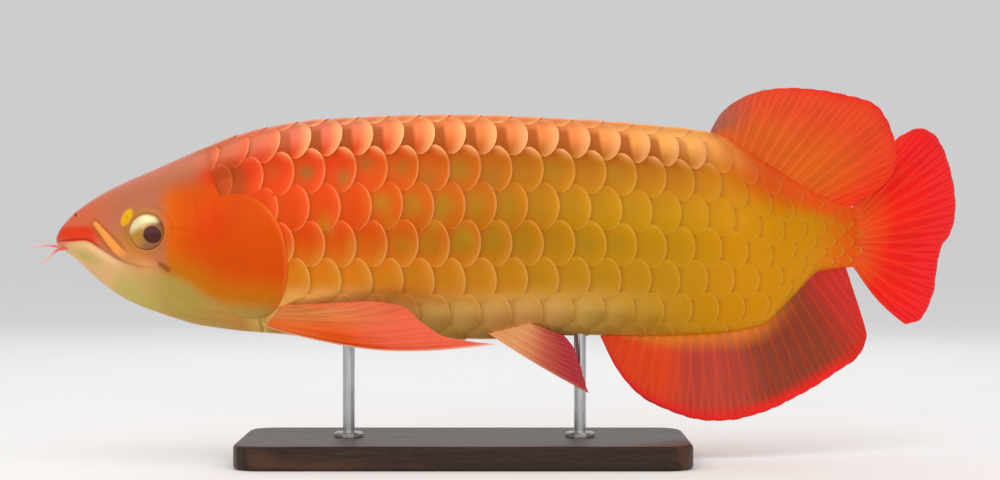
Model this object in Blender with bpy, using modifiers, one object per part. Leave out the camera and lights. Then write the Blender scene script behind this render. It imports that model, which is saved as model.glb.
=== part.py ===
# A life-size Asian arowana, still, on a plain display stand. Metres, +Z up.
# The fish faces -X with its left flank towards -Y, and its tail swings towards +Y.
# The origin is under the middle of the whole model, on the surface that the base stands on.
import math
from functools import lru_cache

import bmesh
import bpy
import numpy as np
from mathutils import Vector

# Driving sizes
GAP = 0.0003                  # air kept between neighbouring pieces
BODY_LENGTH = 0.544           # snout to tail fin base, along the bent centre line
BEND_START = 0.300            # the centre line is straight ahead of this
TAIL_TURN = math.radians(24)  # how far the body has turned at the tail fin base
SCALE_ROWS = 14               # rows of scales round the body, back and belly rows included
SCALE_LENGTH = 0.0205         # what shows of a flank scale, along the body
TAIL_SCALE_LENGTH = 0.0150    # the same at the tail fin base
SCALE_STEP = 0.0009           # how far a scale's free edge stands over the next one

# Body stations: distance from the snout, top and bottom of the outline, half width,
# height of the widest place, and how full the upper and lower halves of the section are
# (1 is an ellipse, less is fuller, more is leaner towards the back or the belly).
STATIONS = {
    "snout tip": (0.0000, 0.1500, 0.1466, 0.0020, 0.1482, 0.90, 0.90),
    "lips": (0.0020, 0.1548, 0.1434, 0.0052, 0.1490, 0.88, 0.90),
    "chin": (0.0060, 0.1600, 0.1405, 0.0084, 0.1495, 0.85, 0.95),
    "front nostril": (0.0130, 0.1670, 0.1355, 0.0116, 0.1505, 0.80, 1.00),
    "upper jaw": (0.0290, 0.1780, 0.1201, 0.0160, 0.1525, 0.78, 1.10),
    "rear nostril": (0.0480, 0.1875, 0.1070, 0.0197, 0.1545, 0.78, 1.15),
    "eye": (0.0690, 0.1967, 0.0984, 0.0232, 0.1570, 0.78, 1.20),
    "nape": (0.0995, 0.2103, 0.0898, 0.0275, 0.1590, 0.80, 1.20),
    "gill edge": (0.1350, 0.2222, 0.0863, 0.0308, 0.1610, 0.84, 1.20),
    "shoulder": (0.1800, 0.2294, 0.0836, 0.0326, 0.1630, 0.88, 1.22),
    "mid back": (0.2640, 0.2323, 0.0818, 0.0334, 0.1650, 0.92, 1.25),
    "vent": (0.3500, 0.2292, 0.0845, 0.0306, 0.1640, 0.96, 1.28),
    "anal fin front": (0.4050, 0.2250, 0.0832, 0.0262, 0.1610, 1.00, 1.30),
    "dorsal fin front": (0.4400, 0.2210, 0.0842, 0.0222, 0.1580, 1.02, 1.30),
    "rear flank": (0.4750, 0.2025, 0.0895, 0.0174, 0.1540, 1.02, 1.25),
    "stalk": (0.5000, 0.1880, 0.1110, 0.0130, 0.1510, 1.00, 1.10),
    "stalk waist": (0.5180, 0.1785, 0.1265, 0.0098, 0.1505, 1.00, 1.00),
    "tail fin base": (0.5440, 0.1706, 0.1292, 0.0052, 0.1500, 1.00, 1.00),
    "past the base": (0.5600, 0.1695, 0.1300, 0.0036, 0.1500, 1.00, 1.00),
}

# Head
NECK_TOP = 0.0995             # where the skull ends on the back
NECK_BOTTOM = 0.1360          # where the throat ends on the belly
VENT_SEAM = 0.3640            # trunk and tail stalk meet here, ahead of the anal fin
TAIL_BASE = 0.5480            # the tail fin starts here, square across the centre line
EYE_ALONG, EYE_HEIGHT = 0.0622, 0.1545
EYE_RADIUS, EYE_DEPTH = 0.0132, 0.0080
EYE_SINK = 0.0038             # how far the eye's middle lies under the skin
MOUTH_LINE = (                # distance from the snout and height, from the tip to the corner
    (-0.0100, 0.1478), (0.0000, 0.1478), (0.0120, 0.1486), (0.0230, 0.1488), (0.0290, 0.1452),
    (0.0350, 0.1408), (0.0430, 0.1356), (0.0560, 0.1308), (0.0740, 0.1282),
)
NOSTRILS = ((0.0140, 0.1650, 0.0013), (0.0450, 0.1640, 0.0019))  # distance, height and radius
BARBEL_STEPS = {              # from the root: forward, outward and up
    "barbel_left": (
        (-0.0030, 0.0016, -0.0006), (-0.0072, 0.0034, -0.0040),
        (-0.0112, 0.0050, -0.0078), (-0.0150, 0.0062, -0.0112),
    ),
    "barbel_right": (
        (-0.0040, 0.0016, 0.0008), (-0.0130, 0.0036, 0.0018),
        (-0.0220, 0.0060, 0.0012), (-0.0285, 0.0066, 0.0022),
    ),
}
JAW_REAR = ((0.0800, 0.1180), (0.0860, 0.1060), (0.0900, 0.0700), (-0.0100, 0.0700))

# Stand
BASE_LENGTH, BASE_WIDTH, BASE_HEIGHT, BASE_CORNER = 0.300, 0.130, 0.016, 0.018
ROD_RADIUS = 0.0040
ROD_SOCKET = 0.0060           # how deep a rod stands in the base
FLANGE_RADIUS, FLANGE_HEIGHT = 0.0100, 0.0030
ROD_PLACES = {"front": 0.1960, "rear": 0.3515}


# Curves and sections

def smooth(points):
    """A curve through named heights that never overshoots them, as a function of distance."""
    x, y = (np.array(column, float) for column in zip(*points))
    step, rise = np.diff(x), np.diff(y)
    slope = rise / step
    tangent = np.zeros_like(y)
    tangent[0], tangent[-1] = slope[0], slope[-1]
    for i in range(1, len(x) - 1):
        if slope[i - 1] * slope[i] > 0:
            near, far = 2 * step[i] + step[i - 1], step[i] + 2 * step[i - 1]
            tangent[i] = (near + far) / (near / slope[i - 1] + far / slope[i])

    def value(at):
        at = min(max(at, x[0]), x[-1])
        i = min(int(np.searchsorted(x, at, side="right")) - 1, len(step) - 1)
        t = (at - x[i]) / step[i]
        return float(
            y[i] * (1 + 2 * t) * (1 - t) ** 2
            + tangent[i] * step[i] * t * (1 - t) ** 2
            + y[i + 1] * t * t * (3 - 2 * t)
            + tangent[i + 1] * step[i] * t * t * (t - 1)
        )

    return value


def station_curve(column):
    return smooth([(row[0], row[column]) for row in STATIONS.values()])


TOP, BOTTOM, HALF_WIDTH, WIDEST, UPPER, LOWER = (station_curve(column) for column in range(1, 7))


def fade(value, start, end):
    """0 before start, 1 after end, smooth between."""
    t = min(max((value - start) / (end - start), 0.0), 1.0)
    return t * t * (3 - 2 * t)


def bend_table(step=0.0005, reach=0.70):
    along = np.arange(0, reach, step)
    turned = np.clip((along - BEND_START) / (BODY_LENGTH - BEND_START), 0, None)
    heading = TAIL_TURN * turned ** 2
    x = np.concatenate([[0], np.cumsum(np.cos(heading[:-1]) * step)])
    y = np.concatenate([[0], np.cumsum(np.sin(heading[:-1]) * step)])
    return along, x, y, heading


BEND = bend_table()


def place(along, lateral, height):
    """The point at this distance along the centre line, this far to the fish's right, at this height."""
    x, y, heading = (float(np.interp(along, BEND[0], column)) for column in BEND[1:])
    x += min(along, 0.0)
    return Vector((x - math.sin(heading) * lateral, y + math.cos(heading) * lateral, height))


@lru_cache(maxsize=None)
def section(along):
    """Half a cross section from back to belly: shares of its length, lateral, height and outward normal."""
    width, widest = HALF_WIDTH(along), WIDEST(along)
    upper, lower = UPPER(along), LOWER(along)
    angle = np.linspace(0, math.pi, 241)
    sine, cosine = np.sin(angle).clip(0), np.cos(angle)
    lateral = width * sine ** np.where(cosine > 0, upper, lower)
    height = widest + cosine * np.where(cosine > 0, TOP(along) - widest, widest - BOTTOM(along))
    length = np.concatenate([[0], np.cumsum(np.hypot(np.diff(lateral), np.diff(height)))])
    out_lateral, out_height = -np.gradient(height), np.gradient(lateral)
    size = np.hypot(out_lateral, out_height)
    out_lateral, out_height = out_lateral / size, out_height / size
    out_lateral[[0, -1]] = 0
    out_height[0], out_height[-1] = 1, -1
    return length / length[-1], lateral, height, out_lateral, out_height


def skin(along, turn, lift=0.0):
    """A point on the skin. turn is 0 on the back and 1 on the belly, and negative on the left side."""
    turn = (turn + 1) % 2 - 1
    share, lateral, height, out_lateral, out_height = section(round(along, 6))
    values = (np.interp(abs(turn), share, column) for column in (lateral, height, out_lateral, out_height))
    lateral, height, out_lateral, out_height = (float(v) for v in values)
    side = math.copysign(1, turn)
    return place(along, side * (lateral + lift * out_lateral), height + lift * out_height)


def turn_at(along, height):
    """How far round the section this height lies, on the right side."""
    share, _, heights, _, _ = section(round(along, 6))
    return float(np.interp(-height, -heights, share))


def skin_beside(along, height, side, lift=0.0):
    return skin(along, side * turn_at(along, height), lift)


def curve_through(points, samples):
    """Evenly spaced points on a smooth curve through the given ones (centripetal Catmull-Rom)."""
    p = [np.array(q, float) for q in points]
    p = [2 * p[0] - p[1], *p, 2 * p[-1] - p[-2]]
    fine = []
    for a, b, c, d in zip(p, p[1:], p[2:], p[3:]):
        t0, t1 = 0.0, max(np.linalg.norm(b - a), 1e-9) ** 0.5
        t2 = t1 + max(np.linalg.norm(c - b), 1e-9) ** 0.5
        t3 = t2 + max(np.linalg.norm(d - c), 1e-9) ** 0.5
        for t in np.linspace(t1, t2, 24, endpoint=False):
            ab = (t1 - t) / (t1 - t0) * a + (t - t0) / (t1 - t0) * b
            bc = (t2 - t) / (t2 - t1) * b + (t - t1) / (t2 - t1) * c
            cd = (t3 - t) / (t3 - t2) * c + (t - t2) / (t3 - t2) * d
            abc = (t2 - t) / (t2 - t0) * ab + (t - t0) / (t2 - t0) * bc
            bcd = (t3 - t) / (t3 - t1) * bc + (t - t1) / (t3 - t1) * cd
            fine.append((t2 - t) / (t2 - t1) * abc + (t - t1) / (t2 - t1) * bcd)
    fine = np.array([*fine, p[-2]])
    length = np.concatenate([[0], np.cumsum(np.linalg.norm(np.diff(fine, axis=0), axis=1))])
    even = np.linspace(0, length[-1], samples)
    return np.stack([np.interp(even, length, column) for column in fine.T], axis=1)


# Making objects

def clear_scene():
    for obj in list(bpy.data.objects):
        bpy.data.objects.remove(obj, do_unlink=True)


def collection(name):
    made = bpy.data.collections.new(name)
    bpy.context.scene.collection.children.link(made)
    return made


def finish_material(name, colour, roughness, metallic=0.0):
    material = bpy.data.materials.new(name)
    material.use_nodes = True
    shader = material.node_tree.nodes["Principled BSDF"]
    shader.inputs["Base Color"].default_value = (*colour, 1.0)
    shader.inputs["Roughness"].default_value = roughness
    shader.inputs["Metallic"].default_value = metallic
    return material


def add_object(name, bm, material=None, group=None):
    """An object from a bmesh, with its faces turned outwards."""
    bmesh.ops.recalc_face_normals(bm, faces=bm.faces)
    mesh = bpy.data.meshes.new(name)
    bm.to_mesh(mesh)
    bm.free()
    obj = bpy.data.objects.new(name, mesh)
    (group or PARTS).objects.link(obj)
    if group is CUTTERS:
        obj.hide_render = True
        obj.display_type = "WIRE"
    if material:
        mesh.materials.append(material)
    return obj


def take_evaluated_mesh(obj):
    bpy.context.view_layer.update()
    graph = bpy.context.evaluated_depsgraph_get()
    mesh = bpy.data.meshes.new_from_object(obj.evaluated_get(graph))
    obj.modifiers.clear()
    obj.data = mesh


def combine(obj, operation, other, solver="EXACT"):
    """Joins, cuts or intersects obj with other, which stays as it is."""
    modifier = obj.modifiers.new(operation.title(), "BOOLEAN")
    modifier.operation = operation
    modifier.solver = solver
    modifier.object = other
    take_evaluated_mesh(obj)


def join_all(obj, pieces):
    """One union of obj with a collection of closed pieces, which are then removed."""
    group = collection(obj.name + "_pieces")
    for piece in pieces:
        for old in piece.users_collection:
            old.objects.unlink(piece)
        group.objects.link(piece)
    modifier = obj.modifiers.new("Union", "BOOLEAN")
    modifier.operation = "UNION"
    modifier.operand_type = "COLLECTION"
    modifier.collection = group
    take_evaluated_mesh(obj)
    for piece in list(group.objects):
        bpy.data.objects.remove(piece, do_unlink=True)
    bpy.data.collections.remove(group)


def keep_largest(obj):
    """Drops every closed surface of the mesh but the one that encloses most."""
    bm = bmesh.new()
    bm.from_mesh(obj.data)
    bmesh.ops.triangulate(bm, faces=bm.faces)
    left, islands = set(bm.faces), []
    while left:
        seed = left.pop()
        island, edge_of_search = [seed], [seed]
        while edge_of_search:
            face = edge_of_search.pop()
            for edge in face.edges:
                for other in edge.link_faces:
                    if other in left:
                        left.remove(other)
                        island.append(other)
                        edge_of_search.append(other)
        islands.append(island)

    def volume(faces):
        return abs(sum(f.verts[0].co.dot(f.verts[1].co.cross(f.verts[2].co)) for f in faces))

    islands.sort(key=volume, reverse=True)
    scraps = [face for island in islands[1:] for face in island]
    bmesh.ops.delete(bm, geom=scraps, context="FACES")
    loose = [v for v in bm.verts if not v.link_faces]
    bmesh.ops.delete(bm, geom=loose, context="VERTS")
    bmesh.ops.remove_doubles(bm, verts=bm.verts, dist=2e-6)
    bmesh.ops.dissolve_degenerate(bm, edges=bm.edges, dist=2e-6)
    bm.to_mesh(obj.data)
    bm.free()


def copy_of(obj, name, group=None):
    made = obj.copy()
    made.data = obj.data.copy()
    made.name = name
    (group or PARTS).objects.link(made)
    return made


def close_end(bm, loop, centre):
    middle = bm.verts.new(centre)
    for a, b in zip(loop, [*loop[1:], loop[0]]):
        bm.faces.new((a, b, middle))


def loft(name, rings, around, lift, material=None, group=None):
    """A closed skin over these stations, lifted off the true surface by lift(along, turn)."""
    bm = bmesh.new()
    turns = [-1 + 2 * j / around for j in range(around)]
    made = [[bm.verts.new(skin(s, t, lift(s, t))) for t in turns] for s in rings]
    for a, b in zip(made, made[1:]):
        for j in range(around):
            k = (j + 1) % around
            bm.faces.new((a[j], a[k], b[k], b[j]))
    for loop, s in ((made[0], rings[0]), (made[-1], rings[-1])):
        close_end(bm, loop, place(s, 0, (TOP(s) + BOTTOM(s)) / 2))
    return add_object(name, bm, material, group)


def prism(name, outline, reach, group=None):
    """A side-view outline of (x, z) points, extruded from -reach to +reach across the fish."""
    bm = bmesh.new()
    near, far = ([bm.verts.new((x, y, z)) for x, z in outline] for y in (-reach, reach))
    bm.faces.new(near)
    bm.faces.new(far[::-1])
    for i in range(len(outline)):
        j = (i + 1) % len(outline)
        bm.faces.new((near[i], far[i], far[j], near[j]))
    bmesh.ops.triangulate(bm, faces=[f for f in bm.faces if len(f.verts) > 4])
    return add_object(name, bm, None, group or CUTTERS)


def tube(name, points, radii, sides=6, group=None, material=None):
    """A round bar through the points, with a radius at each and closed ends."""
    curve = bpy.data.curves.new(name, "CURVE")
    curve.dimensions = "3D"
    curve.bevel_depth = 1.0
    curve.bevel_resolution = sides // 2 - 2
    curve.use_fill_caps = True
    line = curve.splines.new("POLY")
    line.points.add(len(points) - 1)
    for point, co, radius in zip(line.points, points, radii):
        point.co = (*co, 1)
        point.radius = radius
    obj = bpy.data.objects.new(name, curve)
    (group or PARTS).objects.link(obj)
    bpy.context.view_layer.update()
    graph = bpy.context.evaluated_depsgraph_get()
    mesh = bpy.data.meshes.new_from_object(obj.evaluated_get(graph))
    bpy.data.objects.remove(obj, do_unlink=True)
    bm = bmesh.new()
    bm.from_mesh(mesh)
    bmesh.ops.remove_doubles(bm, verts=bm.verts, dist=1e-6)
    bmesh.ops.triangulate(bm, faces=[f for f in bm.faces if len(f.verts) > 4])
    return add_object(name, bm, material, group)


# The scaled body

def scale_table():
    """How many scales lie between the nape and each place along the body."""
    along = np.arange(0.060, 0.6001, 0.0005)
    length = np.interp(along, [0.35, BODY_LENGTH], [SCALE_LENGTH, TAIL_SCALE_LENGTH])
    return along, np.concatenate([[0], np.cumsum(0.0005 / length[:-1])])


SCALE_COUNT = scale_table()


def along_at(count):
    return float(np.interp(count, SCALE_COUNT[1], SCALE_COUNT[0]))


# Where the scales lie flat: along and turn of the middle, then the reach along and in turn
FLAT_PATCHES = {
    "front rod": (ROD_PLACES["front"], 1.00, 0.020, 0.11),
    "pelvic fins": (0.2980, 0.94, 0.028, 0.13),
    "rear rod": (ROD_PLACES["rear"], 1.00, 0.020, 0.11),
}


def scale_step(along, turn):
    """Height of the free edges: lower on the nape, under the gill covers, at the fins and at the tail."""
    turn = abs((turn + 1) % 2 - 1)
    gill_rear = 0.158 - 0.05 * fade(0.62 - turn, 0.22, 0.36)
    shown = fade(along, gill_rear, gill_rear + 0.012)
    for middle, turned, reach, turn_reach in FLAT_PATCHES.values():
        away = math.hypot((along - middle) / reach, (turn - turned) / turn_reach)
        shown *= fade(away, 1.0, 1.5)
    at_dorsal = fade(along, 0.425, 0.445) * (1 - fade(turn, 0.05, 0.16))
    at_anal = fade(along, 0.350, 0.370) * fade(turn, 0.84, 0.95)
    tail = 1 - 0.6 * fade(along, 0.46, 0.54)
    return max(0.00008, SCALE_STEP * shown * tail * (1 - at_dorsal) * (1 - at_anal))


def scaled_body(name, material, lift=0.0, group=None):
    """The body from under the skull to past the tail fin base, its whole surface laid out as
    overlapping scales in staggered rows. A scale's free edge is an arc, high on its own side and
    low on the scale behind."""
    half_rows = SCALE_ROWS / 2
    arc = ((-0.59, -0.28), (-0.21, -0.02), (0.21, -0.02), (0.59, -0.28))
    back_set = 0.035
    first, last = 1, int(SCALE_COUNT[1][-1]) - 1
    bm = bmesh.new()
    verts = {}

    def offset(row):
        return 0.5 * (row % 2)

    def vertex(row, k, j, high):
        row %= SCALE_ROWS
        key = (row, k, j, high)
        if key not in verts:
            across, back = arc[j]
            turn = (row - half_rows + 1 + across) / half_rows
            along = along_at(k + offset(row) + back + (0 if high else back_set))
            share = 1.0 if high else (0.22 if j in (0, 3) else 0.0)
            verts[key] = bm.verts.new(skin(along, turn, scale_step(along, turn) * share + lift))
        return verts[key]

    for row in range(SCALE_ROWS):
        for k in range(first, last + 1):
            front = [vertex(row, k - 1, j, False) for j in range(4)]
            rear = [vertex(row, k, j, True) for j in range(4)]
            under = [vertex(row, k, j, False) for j in range(4)]
            beside = k - 1 if offset(row) == 0 else k
            low_side = vertex(row - 1, beside, 3, False)
            high_side = vertex(row + 1, beside, 0, False)
            bm.faces.new((front[1], front[2], rear[2], rear[1]))
            for edge, inner, notch in ((0, 1, low_side), (3, 2, high_side)):
                bm.faces.new((front[edge], front[inner], notch))
                bm.faces.new((front[inner], rear[inner], notch))
                bm.faces.new((rear[inner], rear[edge], notch))
            if k < last:
                for j in range(3):
                    bm.faces.new((rear[j], rear[j + 1], under[j + 1], under[j]))
                bm.faces.new((low_side, rear[0], under[0]))
                bm.faces.new((high_side, under[3], rear[3]))
    bmesh.ops.triangulate(bm, faces=[f for f in bm.faces if len(f.verts) > 3])
    for end, beyond in ((along_at(first), -0.05), (along_at(last), 0.05)):
        here = place(end, 0, 0).x
        loop = [e for e in bm.edges if e.is_boundary and abs(e.verts[0].co.x - here) < 0.05]
        centre = bm.verts.new(place(end + beyond, 0, (TOP(end) + BOTTOM(end)) / 2))
        for edge in loop:
            bm.faces.new((*edge.verts, centre))
    return add_object(name, bm, material, group)


# Cuts

def offset_outline(points, distance):
    """The line of points moved sideways, to its left as it runs, by this much."""
    p = np.array(points, float)
    run = np.diff(p, axis=0)
    run /= np.linalg.norm(run, axis=1)[:, None]
    left = np.stack([-run[:, 1], run[:, 0]], axis=1)
    moved = [p[0] + left[0] * distance]
    for i in range(1, len(p) - 1):
        both = left[i - 1] + left[i]
        moved.append(p[i] + both * distance * 2 / both.dot(both))
    moved.append(p[-1] + left[-1] * distance)
    return [tuple(q) for q in moved]


def jaw_outline(clearance):
    """Side view of everything that moves with the lower jaw, grown by the clearance above and behind."""
    return offset_outline([*MOUTH_LINE, *JAW_REAR[:-1]], clearance) + [JAW_REAR[-1]]


def neck_outline(behind, shift):
    """Side view of all that lies behind, or ahead of, the slanted neck line."""
    slope = (NECK_BOTTOM - NECK_TOP) / (TOP(NECK_TOP) - BOTTOM(NECK_BOTTOM))
    high, low = 0.300, 0.030
    at_high = NECK_TOP + slope * (TOP(NECK_TOP) - high) + shift
    at_low = NECK_TOP + slope * (TOP(NECK_TOP) - low) + shift
    far = 0.80 if behind else -0.10
    return [(at_high, high), (far, high), (far, low), (at_low, low)]


def crosswise_block(name, along, behind):
    """A large block on one side of the plane that crosses the centre line squarely here."""
    heading = float(np.interp(along, BEND[0], BEND[3]))
    ahead = Vector((math.cos(heading), math.sin(heading), 0))
    corner = place(along, 0, 0)
    bm = bmesh.new()
    bmesh.ops.create_cube(bm, size=1.0)
    reach = 0.40 if behind else -0.60
    for v in bm.verts:
        across = Vector((-ahead.y, ahead.x, 0)) * v.co.y * 0.50
        v.co = corner + ahead * reach * (v.co.x + 0.5) + across + Vector((0, 0, 0.15 + v.co.z * 0.4))
    return add_object(name, bm, None, CUTTERS)


# Details of the head

def placed_primitive(name, bm, centre, axis, group):
    """Turns a shape made round its own Z axis to point along axis at centre."""
    turn = Vector((0, 0, 1)).rotation_difference(axis).to_matrix().to_4x4()
    for v in bm.verts:
        v.co = turn @ v.co + centre
    return add_object(name, bm, None, group)


def ball(name, centre, axis, radius, depth, group, around=18, material=None):
    bm = bmesh.new()
    bmesh.ops.create_uvsphere(bm, u_segments=around, v_segments=around // 2, radius=1.0)
    for v in bm.verts:
        v.co = Vector((v.co.x * radius, v.co.y * radius, v.co.z * depth))
    obj = placed_primitive(name, bm, centre, axis, group)
    if material:
        obj.data.materials.append(material)
    return obj


def ring(name, centre, axis, radius, thickness, around):
    bpy.ops.mesh.primitive_torus_add(
        major_segments=around, minor_segments=6, major_radius=radius, minor_radius=thickness
    )
    made = bpy.context.object
    bm = bmesh.new()
    bm.from_mesh(made.data)
    bpy.data.objects.remove(made, do_unlink=True)
    return placed_primitive(name, bm, centre, axis, PARTS)


def outward(along, height, side):
    """The direction that the skin faces here."""
    step = 0.001
    turn = side * turn_at(along, height)
    back = skin(along + step, turn) - skin(along - step, turn)
    round_ = skin(along, turn + step) - skin(along, turn - step)
    normal = back.cross(round_).normalized()
    lifted = skin(along, turn, 0.001) - skin(along, turn)
    return normal if normal.dot(lifted) > 0 else -normal


def mouth_points(shift, lift, start=0.0006):
    """Along the mouth line on both flanks, from the left corner round the tip to the right one."""
    line = [p for p in offset_outline(MOUTH_LINE, shift) if p[0] > start]
    left = [skin_beside(s, z, -1, lift) for s, z in reversed(line)]
    right = [skin_beside(s, z, 1, lift) for s, z in line]
    tip = place(0.0, 0, MOUTH_LINE[1][1] + shift) + Vector((0.0004 - lift, 0, 0))
    return [tuple(p) for p in (*left, tip, *right)]


def head_details():
    """Lips, upper jaw bones, orbit rims and nostril rims, as closed pieces to be joined to the head."""
    pieces = []
    for name, shift in (("upper_lip", 0.0013), ("lower_lip", -0.0013)):
        path = curve_through(mouth_points(shift, -0.0004), 25)
        middle = (len(path) - 1) / 2
        radii = [0.0016 - 0.0007 * abs(i / middle - 1) ** 4 for i in range(len(path))]
        pieces.append(tube(name, path, radii))
    bone = (
        (0.0245, 0.1620), (0.0290, 0.1570), (0.0355, 0.1500),
        (0.0440, 0.1422), (0.0560, 0.1362), (0.0710, 0.1318),
    )
    for side in (-1, 1):
        path = curve_through([tuple(skin_beside(s, z, side, -0.0012)) for s, z in bone], 13)
        radii = [0.0017 + 0.0012 * math.sin(math.pi * min(1, 0.15 + i / 14)) for i in range(13)]
        pieces.append(tube("upper_jaw_bone", path, radii))
        axis = eye_axis(side)
        rim_at = skin_beside(EYE_ALONG, EYE_HEIGHT, side, 0.0)
        pieces.append(ring("orbit_rim", rim_at, axis, EYE_RADIUS - 0.0006, 0.0014, 20))
        for s, z, size in NOSTRILS:
            at = skin_beside(s, z, side, 0.0001)
            pieces.append(ring("nostril_rim", at, outward(s, z, side), size, 0.0006, 8))
    return pieces


def eye_axis(side):
    """The eyes look sideways, a little forward and up."""
    return Vector((-0.12, side * 0.98, 0.10)).normalized()


def eye(side, name, group, grow=0.0, material=None):
    axis = eye_axis(side)
    centre = skin_beside(EYE_ALONG, EYE_HEIGHT, side) - axis * EYE_SINK
    return ball(name, centre, axis, EYE_RADIUS + grow, EYE_DEPTH + grow, group, 18, material)


def gill_cover(side, name, material):
    """A curved plate over the neck: thin where it leaves the cheek, thick and rounded at its rear edge."""
    middle, reach_front, reach_rear = 0.1240, 0.0255, 0.0335
    turn_middle, turn_reach = 0.615, 0.275
    rings, around = 5, 28
    under, thin, thick = 0.0005, 0.0007, 0.0021
    bm = bmesh.new()

    def vertex(r, angle, outer):
        reach = reach_rear if math.cos(angle) > 0 else reach_front
        along = middle + reach * r * math.copysign(abs(math.cos(angle)) ** 0.9, math.cos(angle))
        turn = turn_middle + turn_reach * r * math.sin(angle)
        along += 0.030 * (turn - turn_middle) * (1 - 0.6 * r * max(math.cos(angle), 0))
        if not outer:
            return bm.verts.new(skin(along, side * turn, under))
        rearward = 0.5 + 0.5 * r * math.cos(angle)
        swell = (1 - r ** 5) ** 0.5
        plate = thin + (thick - thin) * rearward * (0.35 + 0.65 * swell)
        return bm.verts.new(skin(along, side * turn, under + plate))

    grids = []
    for outer in (False, True):
        centre = vertex(0.0, 0.0, outer)
        loops = [
            [vertex(r / rings if r < rings else 1.0, 2 * math.pi * j / around, outer) for j in range(around)]
            for r in range(1, rings + 1)
        ]
        for j in range(around):
            bm.faces.new((centre, loops[0][j], loops[0][(j + 1) % around]))
        for a, b in zip(loops, loops[1:]):
            for j in range(around):
                k = (j + 1) % around
                bm.faces.new((a[j], b[j], b[k]))
                bm.faces.new((a[j], b[k], a[k]))
        grids.append(loops[-1])
    inner, outer = grids
    for j in range(around):
        k = (j + 1) % around
        bm.faces.new((inner[j], outer[j], outer[k]))
        bm.faces.new((inner[j], outer[k], inner[k]))
    return add_object(name, bm, material)


def barbel(side, name, material):
    """A feeler from the tip of the chin. The left one hangs, the right one reaches forward."""
    start = skin_beside(0.0052, 0.1432, side, 0.0009)
    steps = BARBEL_STEPS[name]
    points = [start] + [start + Vector((x, side * y, z)) for x, y, z in steps]
    path = curve_through([tuple(p) for p in points], 13)
    radii = [0.0013 - 0.0008 * i / 12 for i in range(13)]
    made = tube(name, path, radii, 6, PARTS, material)
    combine(made, "DIFFERENCE", HEAD_CLEARANCE)
    return made


# Fins

def fin(name, root, margin, rays, material, sag=None, sway=None, root_half=0.0017, ray_half=0.0009):
    """A membrane with its rays raised as ridges on both faces. The rays run from the root line to the
    margin. sag(a, b) bends them in the fin's plane and sway(a, b) sideways, where a counts along
    the fin from its first ray to its last, and b from the root to the margin."""
    web_half, tip_half, notch = 0.00034, 0.00050, 0.014
    root_line, margin_line = (curve_through(line, 161) for line in (root, margin))
    even = np.linspace(0, 1, 161)

    def at(a, b):
        start = np.array([np.interp(a, even, column) for column in root_line.T])
        end = np.array([np.interp(a, even, column) for column in margin_line.T])
        point = start + (end - start) * b
        if sag:
            point = point + np.array(sag(a, b))
        lateral = point[1] + (sway(a, b) if sway else 0.0)
        return place(point[0], lateral, point[2])

    def normal(a, b):
        low_a, high_a = max(a - 0.004, 0), min(a + 0.004, 1)
        low_b, high_b = max(b - 0.01, 0), min(b + 0.01, 1)
        along_fin = at(high_a, b) - at(low_a, b)
        along_ray = at(a, high_b) - at(a, low_b)
        return along_fin.cross(along_ray).normalized()

    columns = [(c / (2 * rays - 2), c % 2 == 0) for c in range(2 * rays - 1)]
    rows = (0.0, 0.10, 0.30, 0.62, 1.0)
    bm = bmesh.new()
    grid = {}
    for c, (a, on_ray) in enumerate(columns):
        for r, b in enumerate(rows):
            reach = b if on_ray else b * (1 - notch)
            half = (ray_half + (tip_half - ray_half) * b) if on_ray else web_half
            half += max(root_half - half, 0) * (0.25 if r == 1 else float(r == 0))
            middle, across = at(a, reach), normal(a, min(reach, 0.99)) * half
            grid[c, r, 0] = bm.verts.new(middle + across)
            grid[c, r, 1] = bm.verts.new(middle - across)
    last_c, last_r = len(columns) - 1, len(rows) - 1
    for face in (0, 1):
        for c in range(last_c):
            for r in range(last_r):
                a, b = grid[c, r, face], grid[c + 1, r, face]
                d, e = grid[c + 1, r + 1, face], grid[c, r + 1, face]
                bm.faces.new((a, b, d))
                bm.faces.new((a, d, e))
    rim = [(c, 0) for c in range(last_c)] + [(last_c, r) for r in range(last_r)]
    rim += [(c, last_r) for c in range(last_c, 0, -1)] + [(0, r) for r in range(last_r, 0, -1)]
    for here, there in zip(rim, [*rim[1:], rim[0]]):
        a, b = grid[(*here, 0)], grid[(*there, 0)]
        d, e = grid[(*there, 1)], grid[(*here, 1)]
        bm.faces.new((a, b, d))
        bm.faces.new((a, d, e))
    return add_object(name, bm, material)


def dorsal_fin(material):
    root = [(s, 0, TOP(s) - 0.004) for s in (0.4400, 0.4600, 0.4850, 0.5120, 0.5380)]
    margin = [
        (0.4415, 0, 0.2265), (0.4481, 0, 0.2345), (0.4606, 0, 0.2437), (0.4784, 0, 0.2500), (0.5077, 0, 0.2513),
        (0.5388, 0, 0.2472), (0.5614, 0, 0.2416), (0.5740, 0, 0.2270), (0.5804, 0, 0.2100),
        (0.5770, 0, 0.1950), (0.5667, 0, 0.1857), (0.5500, 0, 0.1775),
    ]

    def sway(a, b):
        return b * (0.0016 * math.sin(9.0 * a + 0.6) - 0.0062 * a ** 2)

    made = fin("dorsal_fin", root, margin, 20, material, sway=sway, ray_half=0.0008)
    combine(made, "DIFFERENCE", BODY_CLEARANCE)
    keep_largest(made)
    return made


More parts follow.
